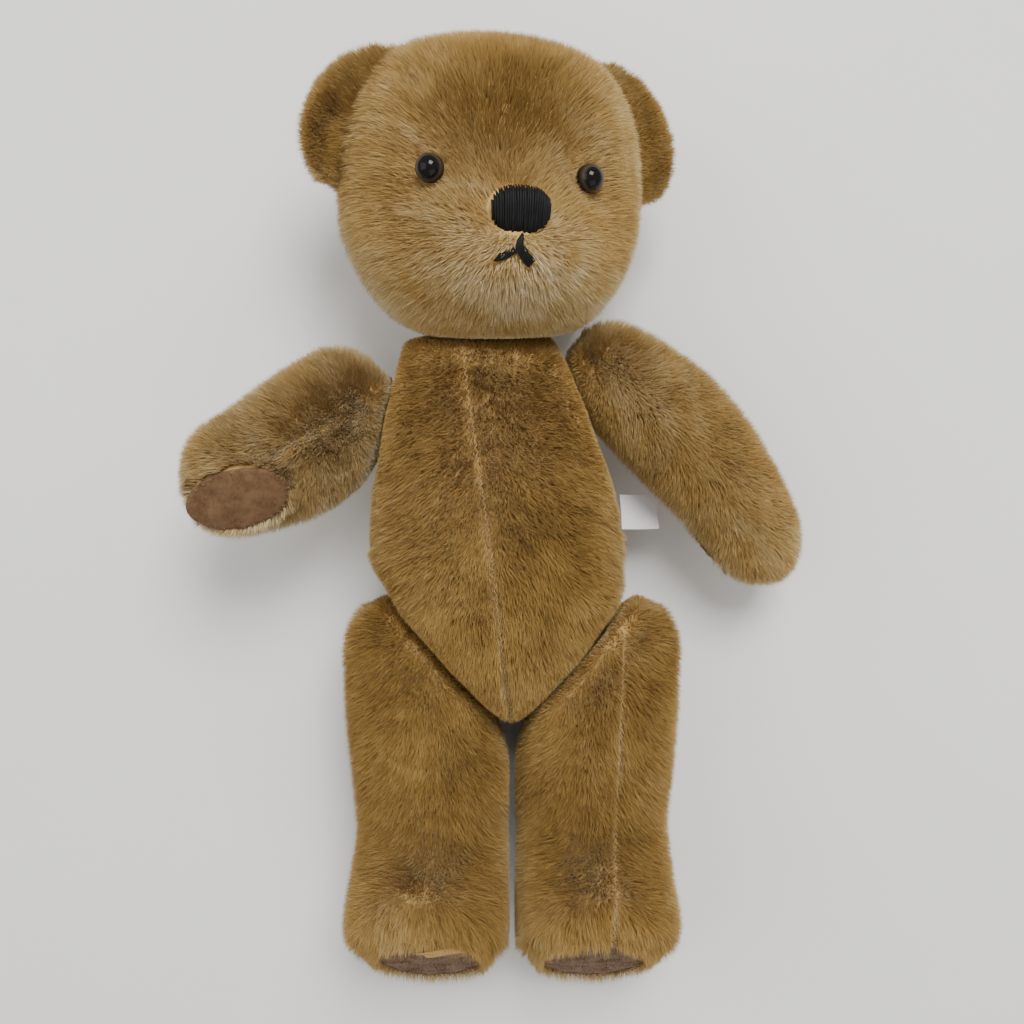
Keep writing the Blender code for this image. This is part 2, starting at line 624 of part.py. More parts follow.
def make_mouth(on_face, turn):
    """The mouth: one line of thread, a stem that parts into two limbs."""
    look = material("black_thread", BLACK_THREAD, 0.45)
    curve = bpy.data.curves.new("mouth", "CURVE")
    curve.dimensions = "3D"
    curve.bevel_depth = MOUTH_THREAD
    curve.bevel_resolution = 1
    curve.use_fill_caps = True
    outward = turn @ Vector((0, 0, 1))
    spline = curve.splines.new("POLY")
    count = (len(MOUTH) - 1) * 3 + 1
    spline.points.add(count - 1)
    fine = [smooth_step([Vector((*spot, 0)) for spot in MOUTH], t / 3) for t in range(count)]
    for point, spot in zip(spline.points, fine):
        point.co = (*(on_face(spot.x, spot.y) + outward * MOUTH_LIFT), 1)
    mouth = bpy.data.objects.new("mouth", curve)
    curve.materials.append(look)
    bpy.context.collection.objects.link(mouth)


def label_plate(name, centre, along, normal, length, width, thickness, look):
    """A thin woven label."""
    normal, along = Vector(normal).normalized(), Vector(along)
    along = (along - normal * along.dot(normal)).normalized()
    across = normal.cross(along)
    bm = bmesh.new()
    bmesh.ops.create_cube(bm, size=1.0)
    for v in bm.verts:
        x, y, z = v.co
        v.co = Vector(centre) + along * x * length + across * y * width + normal * (z + 0.5) * thickness
    return add_object(name, bm, look)


def main():
    for found in list(bpy.data.objects):
        bpy.data.objects.remove(found, do_unlink=True)
    torso = make_torso()
    head, clearance, on_face, to_world, turn = make_head()
    joint_stack("neck", "neck", NECK, NECK_AXIS, head, torso)
    for side, name in ((1, "left"), (-1, "right")):
        arm, _ = make_arm(side)
        joint_stack("shoulder_" + name, "shoulder", *shoulder(side), arm, torso)
        leg = make_leg(side)
        joint_stack("hip_" + name, "hip", *hip(side), leg, torso)
        sole_at = SOLE_POINT + Vector((side * SOLE_ACROSS, 0, 0)) + sole_normal() * GAP
        oval_plate("sole_" + name, sole_at, sole_normal(), (0, 0, 1), *SOLE_HALF, FELT,
                   material("felt", FELT_BROWN, 0.95), SOLE_NARROWING)
        make_ear(side, clearance, to_world, turn)
        make_eye(side, head, on_face, turn)
    make_nose(clearance, on_face, turn)
    make_mouth(on_face, turn)
    clearance.hide_render = True
    clearance.display_type = "WIRE"
    sole_up = Vector((0, math.sin(SOLE_TILT), math.cos(SOLE_TILT)))
    label_at = SOLE_POINT + Vector((FOOT_LABEL_ACROSS, 0, 0)) + sole_up * FOOT_LABEL_UP
    label_at += sole_normal() * (FELT + 2 * GAP)
    label_run = Vector((math.cos(FOOT_LABEL_TURN), 0, 0)) + sole_up * math.sin(FOOT_LABEL_TURN)
    label_plate("foot_label", label_at, label_run, sole_normal(), *FOOT_LABEL,
                material("gold_label", LABEL_GOLD, 0.7))
    label_plate("care_label", CARE_LABEL_AT, CARE_LABEL_ALONG, CARE_LABEL_NORMAL, *CARE_LABEL,
                material("white_label", LABEL_WHITE, 0.6))


main()
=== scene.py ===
"""The looks of a jointed mohair teddy bear on its back: pile, seams, felt, glass and thread."""
import json
import math

import bmesh
import bpy
import numpy as np
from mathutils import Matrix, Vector
from mathutils.bvhtree import BVHTree

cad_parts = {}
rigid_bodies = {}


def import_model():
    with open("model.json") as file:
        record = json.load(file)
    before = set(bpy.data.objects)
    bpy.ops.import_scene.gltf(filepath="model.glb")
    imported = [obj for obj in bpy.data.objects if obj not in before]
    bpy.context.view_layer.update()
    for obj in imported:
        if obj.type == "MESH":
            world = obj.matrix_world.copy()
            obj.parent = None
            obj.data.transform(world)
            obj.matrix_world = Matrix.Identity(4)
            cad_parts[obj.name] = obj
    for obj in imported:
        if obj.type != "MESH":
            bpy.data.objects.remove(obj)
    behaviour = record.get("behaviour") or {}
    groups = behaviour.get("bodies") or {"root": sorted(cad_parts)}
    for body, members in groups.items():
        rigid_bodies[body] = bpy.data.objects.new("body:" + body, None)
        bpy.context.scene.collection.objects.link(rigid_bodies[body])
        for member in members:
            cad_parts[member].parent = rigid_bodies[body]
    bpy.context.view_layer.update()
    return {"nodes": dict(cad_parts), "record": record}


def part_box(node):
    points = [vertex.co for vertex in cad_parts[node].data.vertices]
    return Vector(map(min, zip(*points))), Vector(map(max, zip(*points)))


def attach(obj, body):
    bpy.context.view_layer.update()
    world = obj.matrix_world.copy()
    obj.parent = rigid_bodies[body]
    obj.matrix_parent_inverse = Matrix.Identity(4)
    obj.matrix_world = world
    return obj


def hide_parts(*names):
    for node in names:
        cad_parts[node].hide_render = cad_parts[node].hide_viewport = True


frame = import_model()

JOINTS = {j["name"]: j for j in frame["record"]["behaviour"]["joints"]}

PILE = 0.0042  # how far the backing lies inside the pile's tips
PRESSED = 0.0012  # the same where a joint presses the pile flat
UNDER_FELT = 0.0002  # the same under a felt pad or sole
DOME = 0.0003  # how far a felt piece bulges
REMESH = 0.0028  # spacing of the backing's even mesh
WELD = 0.000002
STRAND_WIDTH = 0.00030
STUFFING_BACK = 0.0050  # how far the stuffing stands back from the skin
OFF_FLOOR = 0.0003  # the least height of any strand
DISC_BARE = 0.0150  # no pile grows this near a joint's axis, where the limb hides it
BOLT_HOLE = 0.0021  # a joint bolt's hole through the skin: radius
BOLT_HOLE_DEPTH = 0.0035
SOCKET = 0.0056  # an eye's opening through the skin, and its washer's pocket: radius
SOCKET_REACH = (-0.0120, 0.0220)

# Pile shades from the darkest to the palest: (root colour, tip colour). The roots are painted paler
# than the tips: painted light that lifts the shade deep in the pile.
SHADES = [((0.360, 0.212, 0.054), (0.310, 0.182, 0.044)),
          ((0.430, 0.262, 0.072), (0.375, 0.226, 0.060)),
          ((0.490, 0.312, 0.096), (0.430, 0.272, 0.082)),
          ((0.550, 0.372, 0.140), (0.490, 0.334, 0.126)),
          ((0.610, 0.450, 0.215), (0.560, 0.420, 0.205)),
          ((0.680, 0.550, 0.320), (0.650, 0.530, 0.322))]
PAINTED_RIM_LIGHT = 1.5  # how much paler the pile is painted where it faces sideways: a painted rim light


# -------- materials

def principled(name, colour, roughness, metallic=0.0, **sockets):
    made = bpy.data.materials.new(name)
    made.use_nodes = True
    shader = made.node_tree.nodes["Principled BSDF"]
    shader.inputs["Base Color"].default_value = (*colour, 1.0)
    shader.inputs["Roughness"].default_value = roughness
    shader.inputs["Metallic"].default_value = metallic
    for socket, value in sockets.items():
        shader.inputs[socket.replace("_", " ")].default_value = value
    return made


def mottled(name, dark, light, scale, roughness, metallic=0.0, bump=0.0, bump_scale=None,
            detail=4.0, stretch=(1, 1, 1), **sockets):
    """A material whose colour runs between two shades of noise, with a bump of the same kind."""
    made = principled(name, light, roughness, metallic, **sockets)
    tree = made.node_tree
    shader = tree.nodes["Principled BSDF"]
    place = tree.nodes.new("ShaderNodeTexCoord")
    spread = tree.nodes.new("ShaderNodeMapping")
    spread.inputs["Scale"].default_value = stretch
    noise = tree.nodes.new("ShaderNodeTexNoise")
    noise.inputs["Scale"].default_value = scale
    noise.inputs["Detail"].default_value = detail
    ramp = tree.nodes.new("ShaderNodeValToRGB")
    ramp.color_ramp.elements[0].position = 0.35
    ramp.color_ramp.elements[0].color = (*dark, 1)
    ramp.color_ramp.elements[1].position = 0.65
    ramp.color_ramp.elements[1].color = (*light, 1)
    tree.links.new(place.outputs["Object"], spread.inputs["Vector"])
    tree.links.new(spread.outputs["Vector"], noise.inputs["Vector"])
    tree.links.new(noise.outputs["Fac"], ramp.inputs["Fac"])
    tree.links.new(ramp.outputs["Color"], shader.inputs["Base Color"])
    if bump:
        fine = tree.nodes.new("ShaderNodeTexNoise")
        fine.inputs["Scale"].default_value = bump_scale or scale
        fine.inputs["Detail"].default_value = 6.0
        lift = tree.nodes.new("ShaderNodeBump")
        lift.inputs["Strength"].default_value = 0.7
        lift.inputs["Distance"].default_value = bump
        tree.links.new(spread.outputs["Vector"], fine.inputs["Vector"])
        tree.links.new(fine.outputs["Fac"], lift.inputs["Height"])
        tree.links.new(lift.outputs["Normal"], shader.inputs["Normal"])
    return made


def make_pile_materials():
    """Two materials for each shade: a strand's root half and its tip half."""
    made = []
    for number, (root, tip) in enumerate(SHADES):
        for half, colour, sheen in (("root", root, 0.0), ("tip", tip, 0.12)):
            look = principled(f"mohair_{number}_{half}", colour, 0.62, Sheen_Weight=sheen,
                              Sheen_Roughness=0.4, Specular_IOR_Level=0.20)
            made.append(look)
    return made


# -------- geometry helpers

def new_object(name, mesh, *looks):
    piece = bpy.data.objects.new(name, mesh)
    bpy.context.scene.collection.objects.link(piece)
    for look in looks:
        mesh.materials.append(look)
    return piece


def closed_mesh(bm, name):
    """The built mesh, ready to use; the builder is freed."""
    mesh = bpy.data.meshes.new(name)
    bm.to_mesh(mesh)
    bm.free()
    mesh.shade_smooth()
    return mesh


def baked_copy(piece, name):
    """The piece's mesh with its modifiers applied, as a new mesh."""
    graph = bpy.context.evaluated_depsgraph_get()
    mesh = bpy.data.meshes.new_from_object(piece.evaluated_get(graph))
    mesh.name = name
    return mesh


def box_centre(node):
    low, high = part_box(node)
    return (np.array(low) + np.array(high)) / 2


def joint_axis(name):
    joint = JOINTS[name]
    return Vector(joint["pos_m"]), Vector(joint["axis"]).normalized()


def body_joints(body):
    """(point, axis out of the torso) of the joints that touch the body."""
    found = []
    for joint in JOINTS.values():
        if body in (joint["parent"], joint["child"]):
            at, axis = joint_axis(joint["name"])
            if joint["name"].startswith(("shoulder_left", "hip_left")):
                axis = -axis
            found.append((np.array(at), np.array(axis)))
    return found


def drop_bore(bm, at, axis, radius, low, high):
    """Drop the faces inside a cylinder that runs from low to high along an axis."""
    doomed = []
    for face in bm.faces:
        away = face.calc_center_median() - at
        along = away.dot(axis)
        if low < along < high and (away - axis * along).length < radius:
            doomed.append(face)
    bmesh.ops.delete(bm, geom=doomed, context="FACES")


def outer_skin(node, body):
    """The outside of a hollow CAD skin: its lining and bolt holes are dropped and closed."""
    bm = bmesh.new()
    bm.from_mesh(frame["nodes"][node].data)
    bmesh.ops.remove_doubles(bm, verts=bm.verts, dist=WELD)
    for at, axis in body_joints(body):
        drop_bore(bm, Vector(at), Vector(axis), BOLT_HOLE, -BOLT_HOLE_DEPTH, BOLT_HOLE_DEPTH)
    if body == "head":
        for side in ("left", "right"):
            washer = Vector(box_centre("eye_washer_" + side))
            axis = (Vector(box_centre("eye_" + side)) - washer).normalized()
            drop_bore(bm, washer, axis, SOCKET, *SOCKET_REACH)
    islands, seen = [], set()
    for start in bm.verts:
        if start in seen:
            continue
        stack, island = [start], []
        seen.add(start)
        while stack:
            v = stack.pop()
            island.append(v)
            for edge in v.link_edges:
                w = edge.other_vert(v)
                if w not in seen:
                    seen.add(w)
                    stack.append(w)
        islands.append(island)

    def extent(island):
        spots = np.array([v.co for v in island])
        return float(np.prod(spots.max(0) - spots.min(0)))

    islands.sort(key=extent)
    bmesh.ops.delete(bm, geom=[v for island in islands[:-1] for v in island], context="VERTS")
    bmesh.ops.holes_fill(bm, edges=bm.edges, sides=0)
    bmesh.ops.recalc_face_normals(bm, faces=bm.faces)
    mesh = bpy.data.meshes.new(node + "_outside")
    bm.to_mesh(mesh)
    bm.free()
    return mesh


def smooth_form(mesh, name, smoothing=14, voxel=REMESH):
    """An even, rounded mesh of the same form."""
    piece = new_object(name, mesh)
    remesh = piece.modifiers.new("even", "REMESH")
    remesh.mode = "VOXEL"
    remesh.voxel_size = voxel
    soften = piece.modifiers.new("soften", "SMOOTH")
    soften.factor = 0.5
    soften.iterations = smoothing
    soft = baked_copy(piece, name)
    bpy.data.objects.remove(piece)
    return soft


def arrays(mesh):
    """The mesh's points, normals and triangles as arrays."""
    points = np.empty(len(mesh.vertices) * 3, np.float32)
    mesh.vertices.foreach_get("co", points)
    normals = np.empty(len(mesh.vertices) * 3, np.float32)
    mesh.vertices.foreach_get("normal", normals)
    mesh.calc_loop_triangles()
    triangles = np.empty(len(mesh.loop_triangles) * 3, np.int32)
    mesh.loop_triangles.foreach_get("vertices", triangles)
    return (points.reshape(-1, 3).astype(float), normals.reshape(-1, 3).astype(float),
            triangles.reshape(-1, 3))


def set_points(mesh, points):
    mesh.vertices.foreach_set("co", np.ascontiguousarray(points, np.float32).ravel())
    mesh.update()


def unit(v):
    return v / np.maximum(np.linalg.norm(v, axis=-1, keepdims=True), 1e-9)


def fade(x, low, high):
    """0 below low, 1 above high, smooth between."""
    t = np.clip((x - low) / (high - low), 0, 1)
    return t * t * (3 - 2 * t)


def waves(points, scale, seed):
    """A smooth random value about -1 to 1 at each point, from a few crossing waves."""
    rng = np.random.default_rng(seed)
    total = np.zeros(len(points))
    for _ in range(7):
        way = unit(rng.normal(size=3)) * rng.uniform(0.6, 1.6) * 2 * math.pi / scale
        total += np.sin(points @ way + rng.uniform(0, 2 * math.pi))
    return total / 2.6


def wave_vectors(points, scale, seed):
    return np.stack([waves(points, scale, seed + k) for k in range(3)], axis=1)


class Plate:
    """Where a flat felt piece lies: its middle, its own directions and its half sizes."""

    def __init__(self, node, away_from):
        spots = np.array([v.co for v in frame["nodes"][node].data.vertices], float)
        self.node = node
        self.centre = spots.mean(0)
        _, _, ways = np.linalg.svd(spots - self.centre)
        self.along, self.across, self.normal = ways
        if (self.centre - away_from) @ self.normal < 0:
            self.normal = -self.normal
        self.across = np.cross(self.normal, self.along)
        local = self.local(spots)
        self.centre = self.centre + self.along * (local[:, 0].max() + local[:, 0].min()) / 2
        local = self.local(spots)
        self.half = (local[:, 0].max(), local[:, 1].max())
        self.low, self.high = local[:, 2].min(), local[:, 2].max()
        ends = [np.abs(local[np.sign(local[:, 0]) == sign][:, 1]).max() for sign in (-1, 1)]
        self.narrowing = 0.5 * (ends[0] - ends[1]) / max(ends)

    def local(self, points):
        away = points - self.centre
        return np.stack([away @ self.along, away @ self.across, away @ self.normal], axis=1)

    def world(self, local):
        return (self.centre + np.outer(local[:, 0], self.along) + np.outer(local[:, 1], self.across)
                + np.outer(local[:, 2], self.normal))

    def outline(self, turn, share):
        """(along, across) of places at an angle, a share of the way out to the rim."""
        width = self.half[1] * (1 - self.narrowing * np.cos(turn))
        return self.half[0] * share * np.cos(turn), width * share * np.sin(turn)

    def share(self, points):
        """0 at the plate's middle, 1 on its rim, and how far each point is below its inner face."""
        local = self.local(points)
        width = self.half[1] * (1 - self.narrowing * local[:, 0] / self.half[0])
        return np.hypot(local[:, 0] / self.half[0], local[:, 1] / width), self.low - local[:, 2]


PLATE_DEPTH = 0.008  # a plate covers the pile this far under it
PLATE_RIM = (0.90, 1.12)  # the share of its radius over which the pile comes in
PLATES = {}
for _side in ("left", "right"):
    for _limb, _plate in (("arm_", "paw_pad_"), ("leg_", "sole_")):
        _low, _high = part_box(_limb + _side + "_skin")
        PLATES[_limb + _side] = Plate(_plate + _side, (np.array(_low) + np.array(_high)) / 2)


# -------- pile

JOINT_ROOM = 0.0004  # the least distance of the pile from a joint's plane
MIDDLE_ROOM = 0.0006  # and of a leg's pile from the plane between the legs
# How many strands are sown over a whole backing for each piece of pile; it keeps its own part.
STRANDS_FRONT = 190000
STRANDS_BACK = 150000
STRANDS_LEG = 150000
STRANDS_ARM = 99000
STRANDS_EAR = 42000
ROOT_ROOM = 0.0020  # no strand is rooted nearer than this to a joint's disc
ROOT_HEIGHT = 0.0010  # or to the floor
PRESSED_OVER = (0.0005, 0.012)  # distances from a joint's plane over which the pile gets its length
PILE_REACH = 1.36  # a strand's length for each depth of pile: it leans
LENGTHS = (0.80, 1.12)  # each strand's share of that length
WIDTHS = (0.6, 1.2)  # and of the width
LEAN = 0.55  # how far the pile lies over along its nap
STIR_COARSE = (0.36, 0.024)  # how far locks stray from the nap, and their size
STIR_FINE = (0.24, 0.007)
STIR_EACH = 0.34  # how far each strand strays
STIR = 0.40
BEND_LOW = 0.45  # how much of the lean each half of a strand takes
BEND_HIGH = 0.95
HALF_LOW = 0.50  # each half's share of the length
HALF_HIGH = 0.62
WAIST = 0.8  # a strand's width at its middle, as a share of its root's
ROOT_SINK = 0.0003
PAINTED_RIM_WHERE = (0.45, 0.95)  # the painted rim light comes in between these: 0 faces up and 1 sideways


def joint_room(points, body, within=0.050):
    """Each point's distance from the nearest joint plane of its body, near that joint's axis."""
    room = np.full(len(points), 1.0)
    for at, axis in body_joints(body):
        way = -axis if body == "torso" else axis
        away = points - at
        along = away @ way
        radius = np.linalg.norm(away - np.outer(along, way), axis=1)
        room = np.minimum(room, np.where(radius < within, along, 1.0))
    return room


def plate_room(points, body):
    """0 under the body's felt plate, 1 away from it."""
    if body not in PLATES:
        return np.ones(len(points))
    share, depth = PLATES[body].share(points)
    return np.where(depth < PLATE_DEPTH, fade(share, *PLATE_RIM), 1.0)


def keep_clear(points, body):
    """Points moved back over the joint planes, off the floor, and clear of the other leg."""
    points = points.copy()
    for at, axis in body_joints(body):
        way = -axis if body == "torso" else axis
        short = np.maximum(JOINT_ROOM - (points - at) @ way, 0)
        points += np.outer(short, way)
    if body.startswith("leg"):
        (at, out), = body_joints(body)
        tilt = math.asin(-out[1])
        reach = (points - at) @ out
        radius = np.linalg.norm(points - at - np.outer(reach, out), axis=1)
        least = (MIDDLE_ROOM - abs(at[0]) + radius * math.sin(tilt)) / math.cos(tilt)
        points += np.outer(np.maximum(least - reach, 0), out)
    points[:, 2] = np.maximum(points[:, 2], OFF_FLOOR)
    return points


def make_backing(node, body, look, voxel=REMESH, smoothing=14, depth=PILE):
    """The backing cloth: the CAD form drawn in by the pile's height."""
    mesh = smooth_form(outer_skin(node, body), node.replace("_skin", "_backing"), smoothing, voxel)
    points, normals, _ = arrays(mesh)
    room = joint_room(points, body)
    inset = PRESSED + (depth - PRESSED) * fade(room, 0.0005, 0.009)
    inset = np.where(points[:, 2] < 0.004, np.minimum(inset, 0.0030), inset)
    inset = UNDER_FELT + (inset - UNDER_FELT) * plate_room(points, body)
    points = points - normals * inset[:, None]
    set_points(mesh, keep_clear(points, body))
    mesh.shade_smooth()
    piece = new_object(mesh.name, mesh, look)
    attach(piece, body)
    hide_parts(node)
    return piece


def grow_pile(name, backing, body, count, nap, looks, shade, seed, length=None, where=None,
              clear=None):
    """Mesh strands rooted in the backing: a blade of two segments each.

    nap(points) is the way the pile lies, shade(points, rng) a shade number from 0 to 5, and
    length(points) a factor on the pile's length.
    """
    rng = np.random.default_rng(seed)
    points, normals, triangles = arrays(backing.data)
    a, b, c = (points[triangles[:, k]] for k in range(3))
    area = np.linalg.norm(np.cross(b - a, c - a), axis=1)
    pick = rng.choice(len(triangles), count, p=area / area.sum())
    u, v = rng.random(count), rng.random(count)
    flip = u + v > 1
    u[flip], v[flip] = 1 - u[flip], 1 - v[flip]
    w = 1 - u - v

    def mix(values):
        """The corners' values, weighed at the chosen places."""
        return (values[triangles[pick, 0]] * w[:, None] + values[triangles[pick, 1]] * u[:, None]
                + values[triangles[pick, 2]] * v[:, None])

    roots, up = mix(points), unit(mix(normals))
    keep = joint_room(roots, body, within=DISC_BARE) > ROOT_ROOM
    keep &= roots[:, 2] > ROOT_HEIGHT
    keep &= plate_room(roots, body) > 0.03
    if where is not None:
        keep &= where(roots)
    roots, up = roots[keep], up[keep]
    n = len(roots)
    room = joint_room(roots, body)
    reach = (PRESSED + (PILE - PRESSED) * fade(room, *PRESSED_OVER)) * PILE_REACH
    reach = reach * (length(roots) if length else 1.0)
    reach = reach * rng.uniform(*LENGTHS, n)
    way = nap(roots)
    way = unit(way - up * (way * up).sum(1)[:, None])
    stir = (STIR_COARSE[0] * wave_vectors(roots, STIR_COARSE[1], seed + 11)
            + STIR_FINE[0] * wave_vectors(roots, STIR_FINE[1], seed + 23))
    stir = stir + rng.normal(size=(n, 3)) * STIR_EACH
    stir = stir - up * (stir * up).sum(1)[:, None]
    flat = LEAN * way + STIR * stir
    low = unit(up + BEND_LOW * flat)
    high = unit(up + BEND_HIGH * flat)
    middle = roots + low * (reach * HALF_LOW)[:, None]
    tip = middle + high * (reach * HALF_HIGH)[:, None]
    side = unit(np.cross(up, unit(flat + rng.normal(size=(n, 3)) * 0.6)))
    half = (STRAND_WIDTH * rng.uniform(*WIDTHS, n) / 2)[:, None]
    base = roots - up * ROOT_SINK
    spots = np.stack([base - side * half, base + side * half, middle - side * half * WAIST,
                      middle + side * half * WAIST, tip], axis=1).reshape(-1, 3)
    spots = keep_clear(spots, body)
    if clear is not None:
        spots = clear(spots)
    # Strands whose roots face sideways are painted paler: a painted rim light.
    pale = shade(roots, rng) + PAINTED_RIM_LIGHT * fade(1 - up[:, 2], *PAINTED_RIM_WHERE)
    chosen = np.clip(np.round(pale), 0, len(SHADES) - 1).astype(np.int32)
    slots = np.stack([chosen * 2, chosen * 2 + 1], axis=1).ravel()
    piece = strand_mesh(name, spots, n, looks, slots)
    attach(piece, body)


# -------- the bear's own directions

BELOW_HIPS = 0.026  # the torso's tip is this far below its hip joints


def lean_frame():
    """The torso's middle line: a point low on it and the way it runs to the neck."""
    neck, _ = joint_axis("neck_swivel")
    hips = [joint_axis("hip_" + side)[0] for side in ("left", "right")]
    low = (hips[0] + hips[1]) / 2
    foot = np.array([low.x, low.y - BELOW_HIPS, 0.0])
    run = np.array([neck.x - low.x, neck.y - low.y + BELOW_HIPS, 0.0])
    return foot, unit(run)


LOW, SPINE = lean_frame()
ACROSS = np.array([SPINE[1], -SPINE[0], 0.0])


def torso_side(points):
    """How far each point is to the bear's left of its middle line."""
    return (points - LOW) @ ACROSS


NOSE = box_centre("nose")
EYES = [box_centre("eye_left"), box_centre("eye_right")]
NECK_POINT, NECK_AXIS = joint_axis("neck_swivel")
HEAD_UP = np.array(NECK_AXIS)
# The face's own directions: to the bear's left, up towards its brow, and out of the face.
FACE_X = unit(EYES[0] - EYES[1])
FACE_Z = unit(np.cross(FACE_X, HEAD_UP))
FACE_Y = np.cross(FACE_Z, FACE_X)
HEAD_MIDDLE = np.array(NECK_POINT) + HEAD_UP * 0.050


def nap_down(points):
    return np.tile(-SPINE, (len(points), 1))


def nap_head(points):
    """The pile runs away from the nose, and down at the back and sides of the head."""
    away = points - (NOSE + FACE_Z * 0.004)
    spread = unit(away)
    front = fade((points - HEAD_MIDDLE) @ FACE_Z, 0.000, 0.030)[:, None]
    crown = -HEAD_UP * 0.9
    return unit(spread * (0.25 + front) + crown * (1 - front))


def limb_nap(joint, node):
    """The pile runs from the joint to the far end of the limb."""
    at, _ = joint_axis(joint)
    at = np.array(at)
    end = box_centre(node)
    way = unit(end - at)
    return lambda points: np.tile(way, (len(points), 1))


def patches(points, seed, base):
    """Shade numbers about the base one, in large and small patches."""
    return base + 0.45 * waves(points, 0.060, seed) + 0.40 * waves(points, 0.011, seed + 5)


SEAM_HALF = 0.0009  # half the width of the parting along a seam
SEAM_SHORTENS = 0.50
SEAM_RISE = 0.0030  # how far a seam's thread stands off the backing
ARM_SEAM_RISE = 0.0026
TORSO_HALF = 0.042  # the height that parts a front piece of pile from a back one
LEG_HALF = 0.034
STITCH = 0.0013  # the length of a seam's stitch
ZIGZAG = STITCH * 0.32  # and how far it goes from side to side
SEAM_THREAD = 0.00017  # radius


def seam_nearness(points, seams, half):
    """1 on a sewn seam, 0 away from it; a seam is a run of points seen from the front."""
    near = np.zeros(len(points))
    for seam in seams:
        spots = [np.array(spot, float) for spot in seam]
        for start, end in zip(spots, spots[1:]):
            run = np.linalg.norm((end - start)[:2])
            way = (end - start)[:2] / run
            away = points[:, :2] - start[:2]
            along = np.clip(away @ way, 0, run)
            off = np.linalg.norm(away - np.outer(along, way), axis=1)
            here = (1 - fade(off, half * 0.5, half * 2.4)) * (points[:, 2] > start[2])
            near = np.maximum(near, here)
    return near


def seam_length(points, seams):
    """A factor on the pile's length: it is short along a sewn seam."""
    return 1 - SEAM_SHORTENS * seam_nearness(points, seams, SEAM_HALF)


# The torso's front seam, (up from its foot, across to the bear's left) at each bend.
TORSO_SEAM = [(0.0040, 0.0), (0.0700, -0.0030), (0.1380, -0.0085)]
TORSO_SEAMS = [[(*(LOW + SPINE * up + ACROSS * off)[:2], 0.05) for up, off in TORSO_SEAM]]


def shade_head(points, rng):
    """Paler at the muzzle and round the eyes, and painted darker up the middle of the brow: a
    painted shade where the pile is seen end-on.
    """
    away = np.linalg.norm(points - NOSE, axis=1)
    pale = patches(points, 3, 2.6)
    pale += 1.1 * (1 - fade(away, 0.014, 0.045)) * fade((NOSE - points) @ HEAD_UP, -0.012, 0.010)
    for eye in EYES:
        pale += 0.9 * np.exp(-(np.linalg.norm(points - eye, axis=1) / 0.013) ** 2)
    across, up = (points - NOSE) @ FACE_X, (points - NOSE) @ HEAD_UP
    # Painted shade: a darker stripe up the middle of the brow, on the front of the head.
    brow = np.exp(-(across / 0.017) ** 2) * fade(up, 0.012, 0.030)
    pale -= 1.6 * brow * fade((points - HEAD_MIDDLE) @ FACE_Z, -0.01, 0.02)
    return pale + rng.normal(size=len(points)) * 0.45


def shade_torso(points, rng):
    """Painted paler at the sides, a painted rim light where the torso turns sideways, and along the
    front seam, a painted highlight where the pile parts.
    """
    off = np.abs(torso_side(points))
    pale = patches(points, 17, 1.4) + 0.9 * fade(off, 0.028, 0.044)
    pale += 1.7 * seam_nearness(points, TORSO_SEAMS, SEAM_HALF * 1.3)
    return pale + rng.normal(size=len(points)) * 0.40


def limb_shade(joint, seed, base, seams):
    """Paler towards the limb's end, and painted paler along its seams: a painted highlight where the
    pile parts.
    """
    at = np.array(joint_axis(joint)[0])

    def shade(points, rng):
        away = np.linalg.norm(points - at, axis=1)
        pale = patches(points, seed, base) + 1.1 * fade(away, 0.075, 0.125)
        pale += 1.6 * seam_nearness(points, seams, SEAM_HALF)
        return pale + rng.normal(size=len(points)) * 0.40

    return shade


# -------- camera, light and floor

FLOOR_HALF = 2.0
CAMERA_HEIGHT = 0.423
LIT_POINT = (0, 0, 0.04)  # what the lamps are turned to
# (name, place, size, power in watts)
LAMPS = [("key", (0.22, 0.60, 1.10), 0.55, 16.5),
         ("fill", (-0.90, 0.10, 0.90), 1.00, 5.0),
         ("low", (0.50, -0.90, 0.80), 1.00, 3.0)]


def make_stage():
    """The floor, a pale even sky and three soft lamps."""
    mesh = bpy.data.meshes.new("floor")
    corners = [(x * FLOOR_HALF, y * FLOOR_HALF, 0) for x, y in ((-1, -1), (1, -1), (1, 1), (-1, 1))]
    mesh.from_pydata(corners, [], [(0, 1, 2, 3)])
    pale = mottled("pale_floor", (0.87, 0.865, 0.84), (0.90, 0.895, 0.87), 6.0, 0.85)
    floor = new_object("floor", mesh, pale)
    world = bpy.data.worlds.new("studio")
    world.use_nodes = True
    world.node_tree.nodes["Background"].inputs["Color"].default_value = (1.0, 0.98, 0.95, 1)
    world.node_tree.nodes["Background"].inputs["Strength"].default_value = 0.50
    bpy.context.scene.world = world
    for name, place, size, power in LAMPS:
        light = bpy.data.lights.new(name, "AREA")
        light.size = size
        light.energy = power
        lamp = bpy.data.objects.new(name, light)
        lamp.location = place
        heading = Vector(LIT_POINT) - Vector(place)
        lamp.rotation_euler = heading.to_track_quat("-Z", "Y").to_euler()
        bpy.context.scene.collection.objects.link(lamp)


def make_camera():
    """Straight over the bear, as someone standing at its feet holds a telephone."""
    data = bpy.data.cameras.new("camera")
    data.sensor_width = 36.0
    data.lens = 36.0
    camera = bpy.data.objects.new("camera", data)
    camera.location = (0.0, 0.0, CAMERA_HEIGHT)
    bpy.context.scene.collection.objects.link(camera)
    bpy.context.scene.camera = camera


# -------- threads, felt, glass

